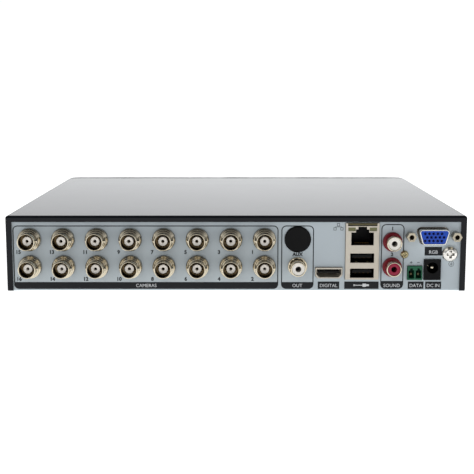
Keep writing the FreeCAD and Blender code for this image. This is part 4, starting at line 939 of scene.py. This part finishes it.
def light_signs(work):
    """Power, disk and network signs over the three lights, from the left as the front is faced."""
    near, far = FRONT_FACE - INK_DEEP, FRONT_FACE + INK_DEEP
    lights = sorted(solids_of("light_pipes"), key=lambda solid: -solid[0].x)
    spots = [((low.x + high.x) / 2, high.z + 2.6 * MM) for low, high in lights]
    radius, pen = 1.2 * MM, 0.25 * MM
    (x, z), (disk_x, _), (net_x, _) = spots
    add_slab(work, band(x, z, radius, radius - pen, 125, 415), near, far)
    add_slab(work, rectangle(x - pen / 2, x + pen / 2, z + 0.2 * MM, z + 1.5 * MM), near, far)
    add_frame(work, ring(disk_x, z, radius), ring(disk_x, z, radius - pen), near, far)
    add_slab(work, arc(disk_x, z, 0.35 * MM, 0, 330, 11), near, far)
    half_wide, half_tall = 0.45 * MM, 0.4 * MM
    for across, up in ((-0.9 * MM, -0.6 * MM), (0.9 * MM, -0.6 * MM), (0, 0.7 * MM)):
        box_x, box_z = net_x + across, z + up
        box = rectangle(box_x - half_wide, box_x + half_wide, box_z - half_tall, box_z + half_tall)
        add_slab(work, box, near, far)


def front_strip(work):
    """A brushed strip along the foot of the front, from the power key's side up to the other keys."""
    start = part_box("left_key")[1].x + 2 * MM
    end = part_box("front_bezel")[1].x - 12 * MM
    foot = CASE_FLOOR + 5.2 * MM
    outline = rounded_box(start, end, foot, foot + 1.6 * MM, 0.7 * MM)
    add_slab(work, outline, FRONT_FACE - 0.3 * MM, FRONT_FACE + 0.25 * MM)


def front_details():
    for name in KEYS:
        body = "key_" + name.replace("_key", "")
        piece_from(f"{name}_sign", key_sign(name), PALE_INK, body)
    piece_from("key_rings", key_rings, ZINC, smooth=True)
    piece_from("light_signs", light_signs, PALE_INK)
    piece_from("front_strip", front_strip, LID)


# ---------------------------------------------------------------- stage

FLOOR_SIZE = 12
FLOOR_GAP = 0.05 * MM
FLOOR_GLOW = 0.79
WALL_SEEN = 1.05
LENS = 76.75
SENSOR = 36
CAMERA_ASIDE = 0.4 * MM
CAMERA_BACK = 552.4 * MM
CAMERA_RISE = 117.3 * MM
CAMERA_DIP = 0.1556
AIM = (0, 0, 0.02)
SOFTBOX = (0.9, 0.6)


def stage():
    """A white floor with a little light of its own, so that it reads as plain paper."""
    bpy.ops.mesh.primitive_plane_add(size=FLOOR_SIZE, location=(0, 0, cad_low.z - FLOOR_GAP))
    floor = bpy.context.object
    floor.name = "stage_floor"
    material = coated("stage_paper", linear(246, 246, 246), 0.9, patch=2, spread=0.004, bump=0.0)
    shader = material.node_tree.nodes["Principled BSDF"]
    shader.inputs["Emission Color"].default_value = (1, 1, 1, 1)
    shader.inputs["Emission Strength"].default_value = FLOOR_GLOW
    floor.data.materials.append(material)


def combined(tree, operation, first, second):
    """One sum or product of two values."""
    node = tree.nodes.new("ShaderNodeMath")
    node.operation = operation
    tree.links.new(first, node.inputs[0])
    tree.links.new(second, node.inputs[1])
    return node.outputs["Value"]


def ramp(tree, value, start, end, low, high):
    """Maps one range of a value onto another."""
    node = new_node(tree, "ShaderNodeMapRange", From_Min=start, From_Max=end, To_Min=low, To_Max=high)
    tree.links.new(value, node.inputs["Value"])
    return node.outputs["Result"]


def sky():
    """White studio wall behind the object, dark above and behind the camera."""
    world = bpy.data.worlds.new("studio")
    bpy.context.scene.world = world
    world.use_nodes = True
    tree = world.node_tree
    tree.nodes.clear()
    output = tree.nodes.new("ShaderNodeOutputWorld")
    background = new_node(tree, "ShaderNodeBackground", Color=(0.97, 0.985, 1, 1))
    where = tree.nodes.new("ShaderNodeTexCoord").outputs["Generated"]
    aim = tree.nodes.new("ShaderNodeVectorMath")
    aim.operation = "DOT_PRODUCT"
    aim.inputs[1].default_value = Vector((0, -0.45, 1)).normalized()
    tree.links.new(where, aim.inputs[0])
    overhead = ramp(tree, aim.outputs["Value"], 0.35, 0.8, 0.64, 0.04)
    parts = tree.nodes.new("ShaderNodeSeparateXYZ")
    tree.links.new(where, parts.inputs["Vector"])
    ahead = ramp(tree, parts.outputs["Y"], 0.4, 0.9, 0.0, 1.0)
    low_wall = ramp(tree, parts.outputs["Z"], 0.06, 0.28, 0.85, 0.0)
    side = ramp(tree, parts.outputs["X"], -0.3, 0.0, 0.75, 1.0)
    glow = combined(tree, "MULTIPLY", ahead, combined(tree, "MULTIPLY", low_wall, side))
    both = combined(tree, "ADD", overhead, glow)
    seen = tree.nodes.new("ShaderNodeLightPath")
    choose = tree.nodes.new("ShaderNodeMix")
    tree.links.new(seen.outputs["Is Camera Ray"], choose.inputs["Factor"])
    tree.links.new(both, choose.inputs["A"])
    choose.inputs["B"].default_value = WALL_SEEN
    tree.links.new(choose.outputs["Result"], background.inputs["Strength"])
    tree.links.new(background.outputs["Background"], output.inputs["Surface"])


def softbox(name, location, power):
    """A soft lamp that lights the object without showing as a patch in its bright metal."""
    light = bpy.data.lights.new(name, "AREA")
    light.shape = "RECTANGLE"
    light.size, light.size_y = SOFTBOX
    light.energy = power
    item = bpy.data.objects.new(name, light)
    item.location = location
    item.rotation_mode = "QUATERNION"
    item.rotation_quaternion = (Vector(AIM) - Vector(location)).to_track_quat("-Z", "Y")
    item.visible_glossy = False
    bpy.context.scene.collection.objects.link(item)


def camera():
    """Stands before the socket panel, a little above it, looking slightly down."""
    data = bpy.data.cameras.new("camera")
    data.lens, data.sensor_width = LENS, SENSOR
    item = bpy.data.objects.new("camera", data)
    item.location = (CAMERA_ASIDE, RIM_LOW.y - CAMERA_BACK, RIM_LOW.z + CAMERA_RISE)
    item.rotation_euler = Euler((math.radians(90) - CAMERA_DIP, 0, 0))
    bpy.context.scene.collection.objects.link(item)
    bpy.context.scene.camera = item


camera()
stage()
sky()
softbox("front_box", (-0.25, -1.2, 0.55), 2.6)
softbox("back_box", (0.2, 1.0, 1.1), 8)
bpy.context.scene.view_settings.view_transform = "Standard"
bpy.context.scene.cycles.use_denoising = True

finish_nodes()
panel_printing()
socket_details()
board_details()
disk_details()
front_details()
